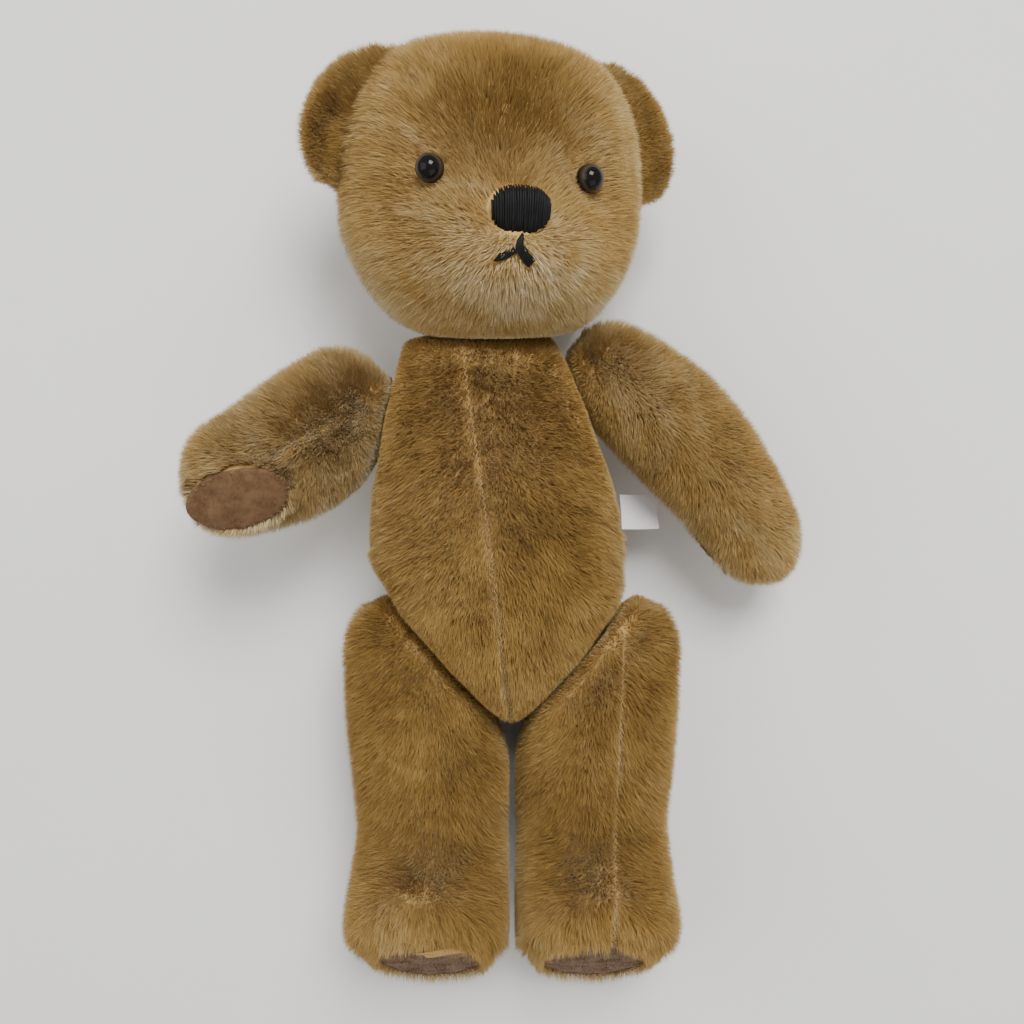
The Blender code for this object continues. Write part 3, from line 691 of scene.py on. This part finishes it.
def tube_arrays(path, radius, sides=6):
    """A closed round thread along the points, thinner at its ends."""
    path = np.asarray(path, float)
    heading = unit(np.gradient(path, axis=0))
    guide = np.array([0.31, 0.17, 0.93])
    across = unit(np.cross(heading, guide))
    up = np.cross(heading, across)
    turn = np.linspace(0, 2 * math.pi, sides, endpoint=False)
    thick = np.full(len(path), radius)
    thick[0] = thick[-1] = radius * 0.45
    rings = (path[:, None] + across[:, None] * np.cos(turn)[None, :, None] * thick[:, None, None]
             + up[:, None] * np.sin(turn)[None, :, None] * thick[:, None, None])
    points = rings.reshape(-1, 3)
    faces = []
    for row in range(len(path) - 1):
        for j in range(sides):
            k = (j + 1) % sides
            faces.append((row * sides + j, row * sides + k, (row + 1) * sides + k,
                          (row + 1) * sides + j))
    faces.append(tuple(range(sides))[::-1])
    faces.append(tuple((len(path) - 1) * sides + j for j in range(sides)))
    return points, faces


def threads(name, paths, radius, look, body, sides=6):
    """Many separate stitches as one piece."""
    points, faces, base = [], [], 0
    for path in paths:
        spots, around = tube_arrays(path, radius, sides)
        points.append(spots)
        faces += [tuple(i + base for i in face) for face in around]
        base += len(spots)
    mesh = bpy.data.meshes.new(name)
    mesh.from_pydata(np.concatenate(points).tolist(), [], faces)
    bm = bmesh.new()
    bm.from_mesh(mesh)
    bmesh.ops.recalc_face_normals(bm, faces=bm.faces)
    bm.to_mesh(mesh)
    bm.free()
    mesh.shade_smooth()
    piece = new_object(name, mesh, look)
    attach(piece, body)
    return piece


def surface_tree(mesh):
    """A search tree of the mesh's surface."""
    bm = bmesh.new()
    bm.from_mesh(mesh)
    tree = BVHTree.FromBMesh(bm)
    bm.free()
    return tree


def face_point(tree, across, up, lift):
    """A point of the face at (across, up) from the nose, lifted off the backing cloth."""
    start = NOSE + FACE_X * across + FACE_Y * up + FACE_Z * 0.05
    hit = tree.ray_cast(Vector(start), Vector(-FACE_Z))[0]
    return np.array(hit) + FACE_Z * lift


NOSE_HALF = (0.0098, 0.0078, 0.0046)
NOSE_SQUARENESS = 2.6
NOSE_STITCHES = 25
NOSE_THREAD = 0.00052  # radius
NOSE_WANDER = 0.00012  # how far a stitch strays from its place
NOSE_RIPPLE = 0.0002  # how far neighbouring stitches differ in height
NOSE_TAPER = 0.14  # how much narrower the nose is at its foot
NOSE_ROUNDING = 0.42
NOSE_PAD = (0.92, 0.92, 0.88)  # the pad under the stitches, as shares of the nose's half sizes
NOSE_LIFT = 0.0006  # off the backing cloth
NOSE_SHIFT = 0.0008  # to the bear's left of the CAD nose
MOUTH_LIFT = 0.0018
MOUTH_THREAD = 0.00058  # radius
MOUTH_SHIFTS = (-0.0009, -0.0003, 0.0003, 0.0009)  # the threads that lie side by side in a limb


def nose_height(x, y):
    """How far the nose's surface stands out at (x, y), 0 on its rim."""
    rise = 1 - abs(x / NOSE_HALF[0]) ** NOSE_SQUARENESS - abs(y / NOSE_HALF[1]) ** NOSE_SQUARENESS
    return NOSE_HALF[2] * max(rise, 0.0) ** NOSE_ROUNDING


def make_nose(look, tree):
    """Upright satin stitches, packed side by side over a small pad."""
    rng = np.random.default_rng(7)
    base = face_point(tree, NOSE_SHIFT, 0, NOSE_LIFT)
    paths = []
    for number in range(NOSE_STITCHES):
        x = NOSE_HALF[0] * 0.97 * (2 * number / (NOSE_STITCHES - 1) - 1)
        half = NOSE_HALF[1] * (1 - abs(x / NOSE_HALF[0]) ** NOSE_SQUARENESS) ** (1 / NOSE_SQUARENESS)
        wander = rng.normal(scale=NOSE_WANDER, size=2)
        path = []
        for t in np.linspace(-1, 1, 13):
            y = half * t
            taper = 1 - NOSE_TAPER * (1 - y / NOSE_HALF[1]) / 2
            z = nose_height(x, y) + NOSE_RIPPLE * math.cos(number * 2.4)
            path.append(base + FACE_X * (x * taper + wander[0] * t) + FACE_Y * (y + wander[1])
                        + FACE_Z * z)
        paths.append(path)
    nose = threads("nose_stitches", paths, NOSE_THREAD, look, "head")
    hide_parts("nose")
    bm = bmesh.new()
    bmesh.ops.create_uvsphere(bm, u_segments=28, v_segments=16, radius=1.0)
    half = [full * share for full, share in zip(NOSE_HALF, NOSE_PAD)]
    for v in bm.verts:
        v.co = (base + FACE_X * v.co.x * half[0] + FACE_Y * v.co.y * half[1]
                + FACE_Z * v.co.z * half[2])
    pad = new_object("nose_pad", closed_mesh(bm, "nose_pad"), look)
    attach(pad, "head")


# The mouth's stem and its two limbs: (across, up) from the nose's middle at each bend.
MOUTH_LIMBS = [[(0.0002, -0.0074), (0.0000, -0.0094), (-0.0002, -0.0112)],
               [(-0.0004, -0.0106), (0.0014, -0.0124), (0.0028, -0.0142), (0.0046, -0.0156)],
               [(0.0002, -0.0106), (-0.0022, -0.0122), (-0.0040, -0.0134), (-0.0068, -0.0142)]]


def mouth_paths(tree):
    """The mouth's threads, laid on the face."""
    paths = []
    for limb in MOUTH_LIMBS:
        for shift in MOUTH_SHIFTS:
            spots = [np.array(p) for p in limb]
            fine = []
            for first, second in zip(spots, spots[1:]):
                fine += [first + (second - first) * t for t in np.linspace(0, 1, 5)[:-1]]
            fine.append(spots[-1])
            paths.append([face_point(tree, across + shift * 0.7, up + shift, MOUTH_LIFT)
                          for across, up in fine])
    return paths


def make_mouth(look, paths):
    mouth = threads("mouth_stitches", paths, MOUTH_THREAD, look, "head")
    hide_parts("mouth")


EYE_SIZE = 0.0047  # radius of the glass
EYE_BACK = 0.0048  # from the CAD eye's front to the middle of the glass
# The glass's colours, by distance from its front over one and a half radii.
EYE_RINGS = [(0.52, (0.006, 0.005, 0.005, 1)), (0.66, (0.060, 0.045, 0.032, 1)),
             (0.80, (0.035, 0.025, 0.018, 1)), (0.92, (0.010, 0.008, 0.007, 1))]


def eye_place(side):
    """An eye's middle and the way it looks, from the CAD eye's own shape."""
    spots = np.array([v.co for v in frame["nodes"]["eye_" + side].data.vertices], float)
    middle = spots.mean(0)
    _, _, ways = np.linalg.svd(spots - middle)
    gaze = ways[0] if ways[0] @ FACE_Z > 0 else -ways[0]
    along = (spots - middle) @ gaze
    front = middle + gaze * along.max()
    return front - gaze * EYE_BACK, gaze


def make_eye(side):
    """A glass eye: a black pupil inside a thin dark-brown ring, under one polished dome."""
    centre, gaze = eye_place(side)
    look = principled("glass_eye_" + side, (0.008, 0.006, 0.005), 0.03, Specular_IOR_Level=0.20)
    tree = look.node_tree
    shader = tree.nodes["Principled BSDF"]
    place = tree.nodes.new("ShaderNodeTexCoord")
    away = tree.nodes.new("ShaderNodeVectorMath")
    away.operation = "DISTANCE"
    away.inputs[1].default_value = tuple(centre + gaze * EYE_SIZE)
    ramp = tree.nodes.new("ShaderNodeValToRGB")
    spread = tree.nodes.new("ShaderNodeMath")
    spread.operation = "MULTIPLY"
    spread.inputs[1].default_value = 1 / (EYE_SIZE * 1.5)
    elements = ramp.color_ramp.elements
    for number, (place_on_ramp, colour) in enumerate(EYE_RINGS):
        ring = elements[number] if number < 2 else elements.new(place_on_ramp)
        ring.position = place_on_ramp
        ring.color = colour
    tree.links.new(place.outputs["Object"], away.inputs[0])
    tree.links.new(away.outputs["Value"], spread.inputs[0])
    tree.links.new(spread.outputs["Value"], ramp.inputs["Fac"])
    tree.links.new(ramp.outputs["Color"], shader.inputs["Base Color"])
    bm = bmesh.new()
    bmesh.ops.create_uvsphere(bm, u_segments=40, v_segments=24, radius=EYE_SIZE)
    turn = Vector(gaze).to_track_quat("Z", "Y").to_matrix()
    for v in bm.verts:
        v.co = Vector(centre) + turn @ v.co
    eye = new_object("glass_eye_" + side, closed_mesh(bm, "glass_eye_" + side), look)
    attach(eye, "head")
    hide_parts("eye_" + side)


FELT_SIDES = 72
FELT_RINGS = 12
FELT_EDGE = 0.55  # the felt's thickness at its rim, as a share of the CAD plate's
FELT_WAVE = 0.00016
PUCKER = 0.00025  # how deep the rim is drawn in between stitches
PUCKER_STEP = 0.0006
RIM_STEP = 0.0030  # from one rim stitch to the next
RIM_THREAD = 0.00014  # radius
RIM_STITCH = ((0.91, 0.0004), (0.94, 0.0009), (0.97, 0.0008), (1.00, 0.0002))  # (share out, rise)
RIM_SLANT = 0.45
FIBRES = {"arm": 4500, "leg": 9000}
FIBRE_WIDTH = 0.00010
FIBRE_LENGTHS = (0.0005, 0.0012)


def felt_rise(share, thick):
    """The felt's height over its underside, by the share of the way out to its rim."""
    return thick * (FELT_EDGE + (1 - FELT_EDGE) * (1 - share**6)) + DOME * (1 - share**2)


def make_plate(body, look, thread_look, fibre_looks, seed):
    """A felt pad or sole: a thin oval, domed and dimpled at its rim, with short surface fibres."""
    plate = PLATES[body]
    rng = np.random.default_rng(seed)
    thick = plate.high - plate.low
    share = np.repeat(np.arange(FELT_RINGS + 1) / FELT_RINGS, FELT_SIDES)
    turn = np.tile(2 * math.pi * np.arange(FELT_SIDES) / FELT_SIDES, FELT_RINGS + 1)
    x, y = plate.outline(turn, share)
    spots = np.stack([x, y, np.zeros(len(x))], axis=1)
    dome = felt_rise(share, thick) + FELT_WAVE * waves(spots + seed, 0.010, seed)
    pucker = PUCKER * fade(share, 0.80, 1.0) * np.cos(turn * round(plate.half[0] / PUCKER_STEP))
    top = plate.world(np.stack([x, y, plate.low + dome + pucker], axis=1))
    bottom = plate.world(np.stack([x, y, np.full(len(x), plate.low)], axis=1))
    count = len(x)
    bm = bmesh.new()
    upper = [bm.verts.new(p) for p in top]
    lower = [bm.verts.new(p) for p in bottom]
    for ring in range(FELT_RINGS):
        for j in range(FELT_SIDES):
            k = (j + 1) % FELT_SIDES
            a, b = ring * FELT_SIDES + j, ring * FELT_SIDES + k
            c, d = a + FELT_SIDES, b + FELT_SIDES
            bm.faces.new((upper[a], upper[c], upper[d], upper[b]))
            bm.faces.new((lower[a], lower[b], lower[d], lower[c]))
    for j in range(FELT_SIDES):
        a, b = count - FELT_SIDES + j, count - FELT_SIDES + (j + 1) % FELT_SIDES
        bm.faces.new((upper[a], lower[a], lower[b], upper[b]))
    bmesh.ops.remove_doubles(bm, verts=bm.verts, dist=WELD)
    bmesh.ops.recalc_face_normals(bm, faces=bm.faces)
    felt = new_object("felt_" + plate.node, closed_mesh(bm, "felt_" + plate.node), look)
    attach(felt, body)
    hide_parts(plate.node)

    # Oversewn stitches round the rim.
    paths = []
    stitches = int(math.pi * sum(plate.half) / RIM_STEP)
    for number in range(stitches):
        angle = 2 * math.pi * number / stitches
        path = []
        for share_of, lift in RIM_STITCH:
            turned = angle + (share_of - RIM_STITCH[0][0]) * RIM_SLANT
            x, y = plate.outline(turned, share_of)
            path.append(plate.world(np.array([[x, y, plate.low + thick * 0.6 + lift]]))[0])
        paths.append(path)
    threads("stitches_" + plate.node, paths, RIM_THREAD, thread_look, body)

    # Short matted fibres.
    fibres = FIBRES[body[:3]]
    angle, share = rng.uniform(0, 2 * math.pi, fibres), np.sqrt(rng.uniform(0, 1, fibres)) * 1.005
    x, y = plate.outline(angle, share)
    z = plate.low + felt_rise(share, thick) - ROOT_SINK / 2
    roots = plate.world(np.stack([x, y, z], axis=1))
    ways = rng.normal(size=(fibres, 3)) * 0.8 + plate.normal * 0.55
    strays = rng.normal(size=(fibres, 3)) * 0.5
    blades("fibres_" + plate.node, roots, unit(ways), unit(ways + strays),
           rng.uniform(*FIBRE_LENGTHS, fibres), FIBRE_WIDTH, fibre_looks, rng.integers(0, 3, fibres),
           body, rng)


def blades(name, roots, low, high, reach, width, looks, shades, body, rng):
    """Tapered two-segment strands as one piece."""
    n = len(roots)
    middle = roots + low * (reach * 0.50)[:, None]
    tip = middle + high * (reach * 0.55)[:, None]
    side = unit(np.cross(low, rng.normal(size=(n, 3))))
    half = width / 2
    spots = np.stack([roots - side * half, roots + side * half, middle - side * half * WAIST,
                      middle + side * half * WAIST, tip], axis=1).reshape(-1, 3)
    spots[:, 2] = np.maximum(spots[:, 2], OFF_FLOOR)
    piece = strand_mesh(name, spots, n, looks, np.repeat(shades, 2))
    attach(piece, body)


def strand_mesh(name, spots, n, looks, face_slots):
    """A mesh of n blades, five points and two faces each, with a material number for each face."""
    first = np.arange(n) * 5
    loops = np.stack([first, first + 1, first + 3, first + 2, first + 2, first + 3, first + 4],
                     axis=1).ravel()
    mesh = bpy.data.meshes.new(name)
    mesh.vertices.add(len(spots))
    mesh.vertices.foreach_set("co", spots.astype(np.float32).ravel())
    mesh.loops.add(len(loops))
    mesh.loops.foreach_set("vertex_index", loops.astype(np.int32))
    mesh.polygons.add(2 * n)
    starts = np.stack([np.arange(n) * 7, np.arange(n) * 7 + 4], axis=1).ravel()
    mesh.polygons.foreach_set("loop_start", starts.astype(np.int32))
    mesh.update(calc_edges=True)
    piece = new_object(name, mesh, *looks)
    mesh.polygons.foreach_set("material_index", face_slots.astype(np.int32))
    mesh.update()
    return piece


def sew_seam(name, backing, seams, body, look, lift):
    """Zigzag stitches of pale thread that show where the pile parts along a seam."""
    tree = surface_tree(backing.data)
    paths = []
    for seam in seams:
        path = []
        for start, end in zip(seam, seam[1:]):
            start, end = np.array(start, float), np.array(end, float)
            run = np.linalg.norm((end - start)[:2])
            way = unit((end - start) * np.array([1, 1, 0]))
            sideways = np.array([way[1], -way[0], 0.0])
            for step in range(int(run / STITCH)):
                spot = start + way * step * STITCH + sideways * ZIGZAG * (-1) ** step
                hit = tree.ray_cast(Vector((spot[0], spot[1], 0.3)), Vector((0, 0, -1)))[0]
                if hit is not None:
                    path.append(np.array(hit) + np.array([0, 0, lift]))
        paths += [path[k:k + 2] for k in range(len(path) - 1)]
    threads(name, paths, SEAM_THREAD, look, body, sides=5)


def make_label(node, body, look, bend):
    """A woven tape, gently curled: a single layer of cloth on the CAD label's middle."""
    plate = Plate(node, np.zeros(3))
    across, along = 16, 16
    grid = []
    for i in range(across + 1):
        for j in range(along + 1):
            x, y = 2 * i / across - 1, 2 * j / along - 1
            curl = bend * (x * x - 0.4) + 0.00025 * math.sin(3.1 * y + 1.7 * x)
            grid.append((plate.half[0] * x, plate.half[1] * y, curl))
    points = plate.world(np.array(grid))
    faces = []
    for i in range(across):
        for j in range(along):
            a = i * (along + 1) + j
            faces.append((a, a + 1, a + along + 2, a + along + 1))
    mesh = bpy.data.meshes.new(node + "_tape")
    mesh.from_pydata(points.tolist(), [], faces)
    mesh.shade_smooth()
    piece = new_object(mesh.name, mesh, look)
    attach(piece, body)
    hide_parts(node)
    return piece, plate


def make_stuffing(node, body, look):
    """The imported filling: a rounded form that stands back from its skin."""
    mesh = smooth_form(outer_skin(node, "none"), node.replace("_stuffing", "_filling"), 6, 0.0040)
    points, normals, _ = arrays(mesh)
    set_points(mesh, points - normals * STUFFING_BACK)
    mesh.shade_smooth()
    filling = new_object(mesh.name, mesh, look)
    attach(filling, body)
    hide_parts(node)


def dress_inner_nodes():
    """The hardware inside the bear keeps its CAD shape and gets its own materials."""
    wool = mottled("stuffing_wool", (0.55, 0.45, 0.28), (0.78, 0.70, 0.52), 420.0, 1.0,
                   bump=0.0006, stretch=(1, 0.2, 1))
    for body in ("torso", "head", "arm_left", "arm_right", "leg_left", "leg_right"):
        make_stuffing(body + "_stuffing", body, wool)
    looks = {
        "hardboard": mottled("pressed_board", (0.22, 0.12, 0.06), (0.36, 0.22, 0.12), 900.0, 0.85,
                             bump=0.0001),
        "zinc_steel": mottled("zinc_plate", (0.46, 0.46, 0.47), (0.62, 0.62, 0.60), 500.0, 0.34,
                              metallic=1.0, bump=0.00003),
    }
    for part in frame["record"]["subparts"]:
        if part["material_slot"] in looks:
            mesh = frame["nodes"][part["node"]].data
            mesh.materials.clear()
            mesh.materials.append(looks[part["material_slot"]])


EAR_ROOT = (0.0010, 0.0045)  # within this of the head an ear's backing is its sewn root
EAR_PILE = 0.0042  # how far an ear's backing lies inside its pile
EAR_TUCK = 0.0060  # how far its root goes into the head
EAR_RIM = (0.014, 0.026)  # from the ear's middle, where its pile is painted paler: the cup's middle is left darker, a painted shade in its hollow
EAR_LENGTH = 0.78


def grow_ear(side, looks, cloth, seed):
    """An ear: its own cupped cushion of pile, sewn on along its root."""
    node = "ear_" + side
    mesh = smooth_form(outer_skin(node, "none"), "ear_backing_" + side, 10, 0.0018)
    points, normals, _ = arrays(mesh)
    head = surface_tree(frame["nodes"]["head_skin"].data)
    nearest = [head.find_nearest(Vector(p)) for p in points]
    gap = np.array([hit[3] for hit in nearest])
    into = np.array([-np.array(hit[1]) for hit in nearest])
    root = (1 - fade(gap, *EAR_ROOT))[:, None]
    points = points - normals * EAR_PILE * (1 - root) + into * EAR_TUCK * root
    set_points(mesh, points)
    mesh.shade_smooth()
    ear = new_object(mesh.name, mesh, cloth)
    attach(ear, "head")
    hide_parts(node)
    middle = box_centre(node)
    out = unit(middle - HEAD_MIDDLE - FACE_Z * ((middle - HEAD_MIDDLE) @ FACE_Z))

    def nap(spots):
        return unit(np.tile(out, (len(spots), 1)) + 0.6 * unit(spots - middle))

    def shade(spots, rng):
        # Painted shade in the cup: its middle is darker than its rim.
        rim = fade(np.linalg.norm(spots - middle, axis=1), *EAR_RIM)
        return patches(spots, seed, 1.6) + 1.2 * rim + rng.normal(size=len(spots)) * 0.6

    grow_pile("pile_ear_" + side, ear, "head", STRANDS_EAR, nap, looks, shade, seed,
              length=lambda spots: np.full(len(spots), EAR_LENGTH))


# -------- the bear

def dress_torso(looks, cloth, thread):
    """The torso's skin: its backing, its pile in two pieces and its front seam."""
    torso = make_backing("torso_skin", "torso", cloth)
    grow_pile("pile_torso_front", torso, "torso", STRANDS_FRONT, nap_down, looks, shade_torso, 101,
              length=lambda p: seam_length(p, TORSO_SEAMS), where=lambda p: p[:, 2] > TORSO_HALF)
    grow_pile("pile_torso_back", torso, "torso", STRANDS_BACK, nap_down, looks, shade_torso, 111,
              where=lambda p: p[:, 2] <= TORSO_HALF)
    sew_seam("seam_torso", torso, TORSO_SEAMS, "torso", thread, SEAM_RISE)


BARE_INSIDE = 0.0006  # pile starts this far inside the nose's outline
BARE_EYE = 0.0004  # and this far outside an eye
BARE_MOUTH = 0.0007  # and this far from the mouth's thread
EYE_ROOM = 0.0003  # strands are pushed this far off an eye's glass
SHORT = 0.50  # the pile's length beside the nose and eyes
SHORT_NOSE = (0.008, 0.036)  # distances over which it gets its full length again
SHORT_EYE = (0.007, 0.016)


def off_face_pieces(points, eyes, mouth_line):
    """Which points are not under the nose, an eye or the mouth's thread."""
    keep = np.ones(len(points), bool)
    front = (points - HEAD_MIDDLE) @ FACE_Z > 0
    across = (points - NOSE) @ FACE_X / (NOSE_HALF[0] - BARE_INSIDE)
    up = (points - NOSE) @ FACE_Y / (NOSE_HALF[1] - BARE_INSIDE)
    keep &= ~((across**2 + up**2 < 1) & front)
    for centre, gaze in eyes:
        away = points - centre
        along = away @ gaze
        off = np.linalg.norm(away - np.outer(along, gaze), axis=1)
        keep &= ~((off < EYE_SIZE + BARE_EYE) & front)
    near = np.full(len(points), 1.0)
    for spot in mouth_line[::3]:
        away = points - spot
        away = away - np.outer(away @ FACE_Z, FACE_Z)
        near = np.minimum(near, np.linalg.norm(away, axis=1))
    return keep & ~((near < BARE_MOUTH) & front)


def dress_head(looks, cloth, black):
    """The head's skin, with its pile shorter round the nose and eyes, and the nose and mouth."""
    head = make_backing("head_skin", "head", cloth, smoothing=5)
    eyes = [eye_place(side) for side in ("left", "right")]
    face = surface_tree(head.data)
    mouth = mouth_paths(face)
    mouth_line = np.concatenate(mouth)

    def head_length(points):
        away = np.linalg.norm(points - NOSE, axis=1)
        factor = SHORT + (1 - SHORT) * fade(away, *SHORT_NOSE)
        for centre, _ in eyes:
            near = np.linalg.norm(points - centre, axis=1)
            factor = np.minimum(factor, SHORT + (1 - SHORT) * fade(near, *SHORT_EYE))
        return factor

    def clear_of_eyes(spots):
        least = EYE_SIZE + EYE_ROOM
        for centre, _ in eyes:
            away = spots - centre
            far = np.linalg.norm(away, axis=1, keepdims=True)
            spots = np.where(far < least, centre + away / far * least, spots)
        return spots

    def bare_front(points):
        front = (points - HEAD_MIDDLE) @ FACE_Z > 0
        return front & off_face_pieces(points, eyes, mouth_line)

    grow_pile("pile_head_front", head, "head", STRANDS_FRONT, nap_head, looks, shade_head, 102,
              length=head_length, clear=clear_of_eyes, where=bare_front)
    grow_pile("pile_head_back", head, "head", STRANDS_BACK, nap_head, looks, shade_head, 112,
              where=lambda p: (p - HEAD_MIDDLE) @ FACE_Z <= 0)
    make_nose(black, face)
    make_mouth(black, mouth)


ARM_SEAM = (0.30, 0.75)  # the stretch between shoulder and paw that has a sewn seam
ARM_SEAM_SHIFT = {"left": -0.004, "right": 0.006}
# The right arm is painted paler than the left: painted light that offsets the shade near its
# shoulder, where the pile is seen end-on.
ARM_BASE_SHADE = {"left": 2.5, "right": 3.3}
LEG_BASE_SHADE = 1.2
SEAM_ABOVE = 0.045  # limb seams are sewn on the side above this height


def dress_arm(side, number, looks, cloth, thread):
    """An arm's skin: its backing, pile and seam."""
    body, joint, pad = "arm_" + side, "shoulder_" + side, "paw_pad_" + side
    arm = make_backing(body + "_skin", body, cloth)
    shoulder = np.array(joint_axis(joint)[0])
    run = box_centre(pad) - shoulder
    shift = np.array([0.0, ARM_SEAM_SHIFT[side], 0.0])
    seams = [[(*(shoulder + run * share + shift)[:2], SEAM_ABOVE) for share in ARM_SEAM]]
    grow_pile("pile_" + body, arm, body, STRANDS_ARM, limb_nap(joint, pad), looks,
              limb_shade(joint, 31 + number, ARM_BASE_SHADE[side], seams), 103 + number,
              length=lambda points: seam_length(points, seams))
    sew_seam("seam_" + body, arm, seams, body, thread, ARM_SEAM_RISE)


def dress_leg(side, number, looks, cloth, thread):
    """A leg's skin; only the left one has a seam in view."""
    body, joint = "leg_" + side, "hip_" + side
    leg = make_backing(body + "_skin", body, cloth)
    low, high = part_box(body + "_skin")
    seam_x = (low[0] + high[0]) / 2 + 0.004
    seams = []
    if side == "left":
        seams = [[(seam_x + 0.004, high[1] - 0.012, SEAM_ABOVE),
                  (seam_x - 0.003, low[1], SEAM_ABOVE)]]
    nap = limb_nap(joint, "sole_" + side)
    shade = limb_shade(joint, 47 + number, LEG_BASE_SHADE, seams)
    for part, where in (("front", lambda p: p[:, 2] > LEG_HALF),
                        ("back", lambda p: p[:, 2] <= LEG_HALF)):
        grow_pile(f"pile_{body}_{part}", leg, body, STRANDS_LEG, nap, looks, shade, 105 + number,
                  where=where, length=lambda points: seam_length(points, seams))
    if seams:
        sew_seam("seam_" + body, leg, seams, body, thread, SEAM_RISE)


def sew_labels():
    """The care label in the side seam and the small label on the right sole."""
    white = mottled("white_tape", (0.80, 0.80, 0.78), (0.88, 0.88, 0.87), 1200.0, 0.55,
                    bump=0.00005, stretch=(1, 3, 1))
    gold = mottled("gold_tape", (0.42, 0.22, 0.05), (0.62, 0.36, 0.10), 1800.0, 0.6,
                   bump=0.00010, stretch=(1, 4, 1))
    care, plate = make_label("care_label", "torso", white, 0.0008)
    make_label("foot_label", "leg_right", gold, 0.0)


def main():
    """All the bear's pieces, in one fixed order."""
    looks = make_pile_materials()
    # The backing cloth takes two of the paler root colours: painted light that lifts the shade
    # between the strands.
    cloth = mottled("backing_cloth", SHADES[1][0], SHADES[3][0], 260.0, 0.95, bump=0.0004)
    black = mottled("black_cotton", (0.0020, 0.0020, 0.0020), (0.0060, 0.0055, 0.0055), 900.0, 0.60,
                    bump=0.00012, bump_scale=2600.0, stretch=(1, 0.2, 1), Specular_IOR_Level=0.22)
    felt = mottled("brown_felt", (0.125, 0.066, 0.030), (0.185, 0.103, 0.050), 240.0, 0.97,
                   bump=0.00025, bump_scale=1500.0, Sheen_Weight=0.08, Specular_IOR_Level=0.25)
    fibre_looks = [principled(f"felt_fibre_{k}", tuple(c * f for c in (0.160, 0.088, 0.042)), 0.95,
                              Specular_IOR_Level=0.2)
                   for k, f in enumerate((0.80, 1.0, 1.2))]
    seam_thread = mottled("seam_thread", (0.46, 0.29, 0.13), (0.62, 0.43, 0.24), 1500.0, 0.8)
    brown_thread = mottled("brown_thread", (0.16, 0.085, 0.035), (0.24, 0.14, 0.06), 1500.0, 0.7)
    make_stage()
    make_camera()
    dress_inner_nodes()

    dress_torso(looks, cloth, seam_thread)
    dress_head(looks, cloth, black)
    for number, side in enumerate(("left", "right")):
        make_eye(side)
        grow_ear(side, looks, cloth, 61 + number)
        dress_arm(side, number, looks, cloth, seam_thread)
        dress_leg(side, number, looks, cloth, seam_thread)
        make_plate("arm_" + side, felt, brown_thread, fibre_looks, 201 + number)
        make_plate("leg_" + side, felt, brown_thread, fibre_looks, 211 + number)
    sew_labels()


main()
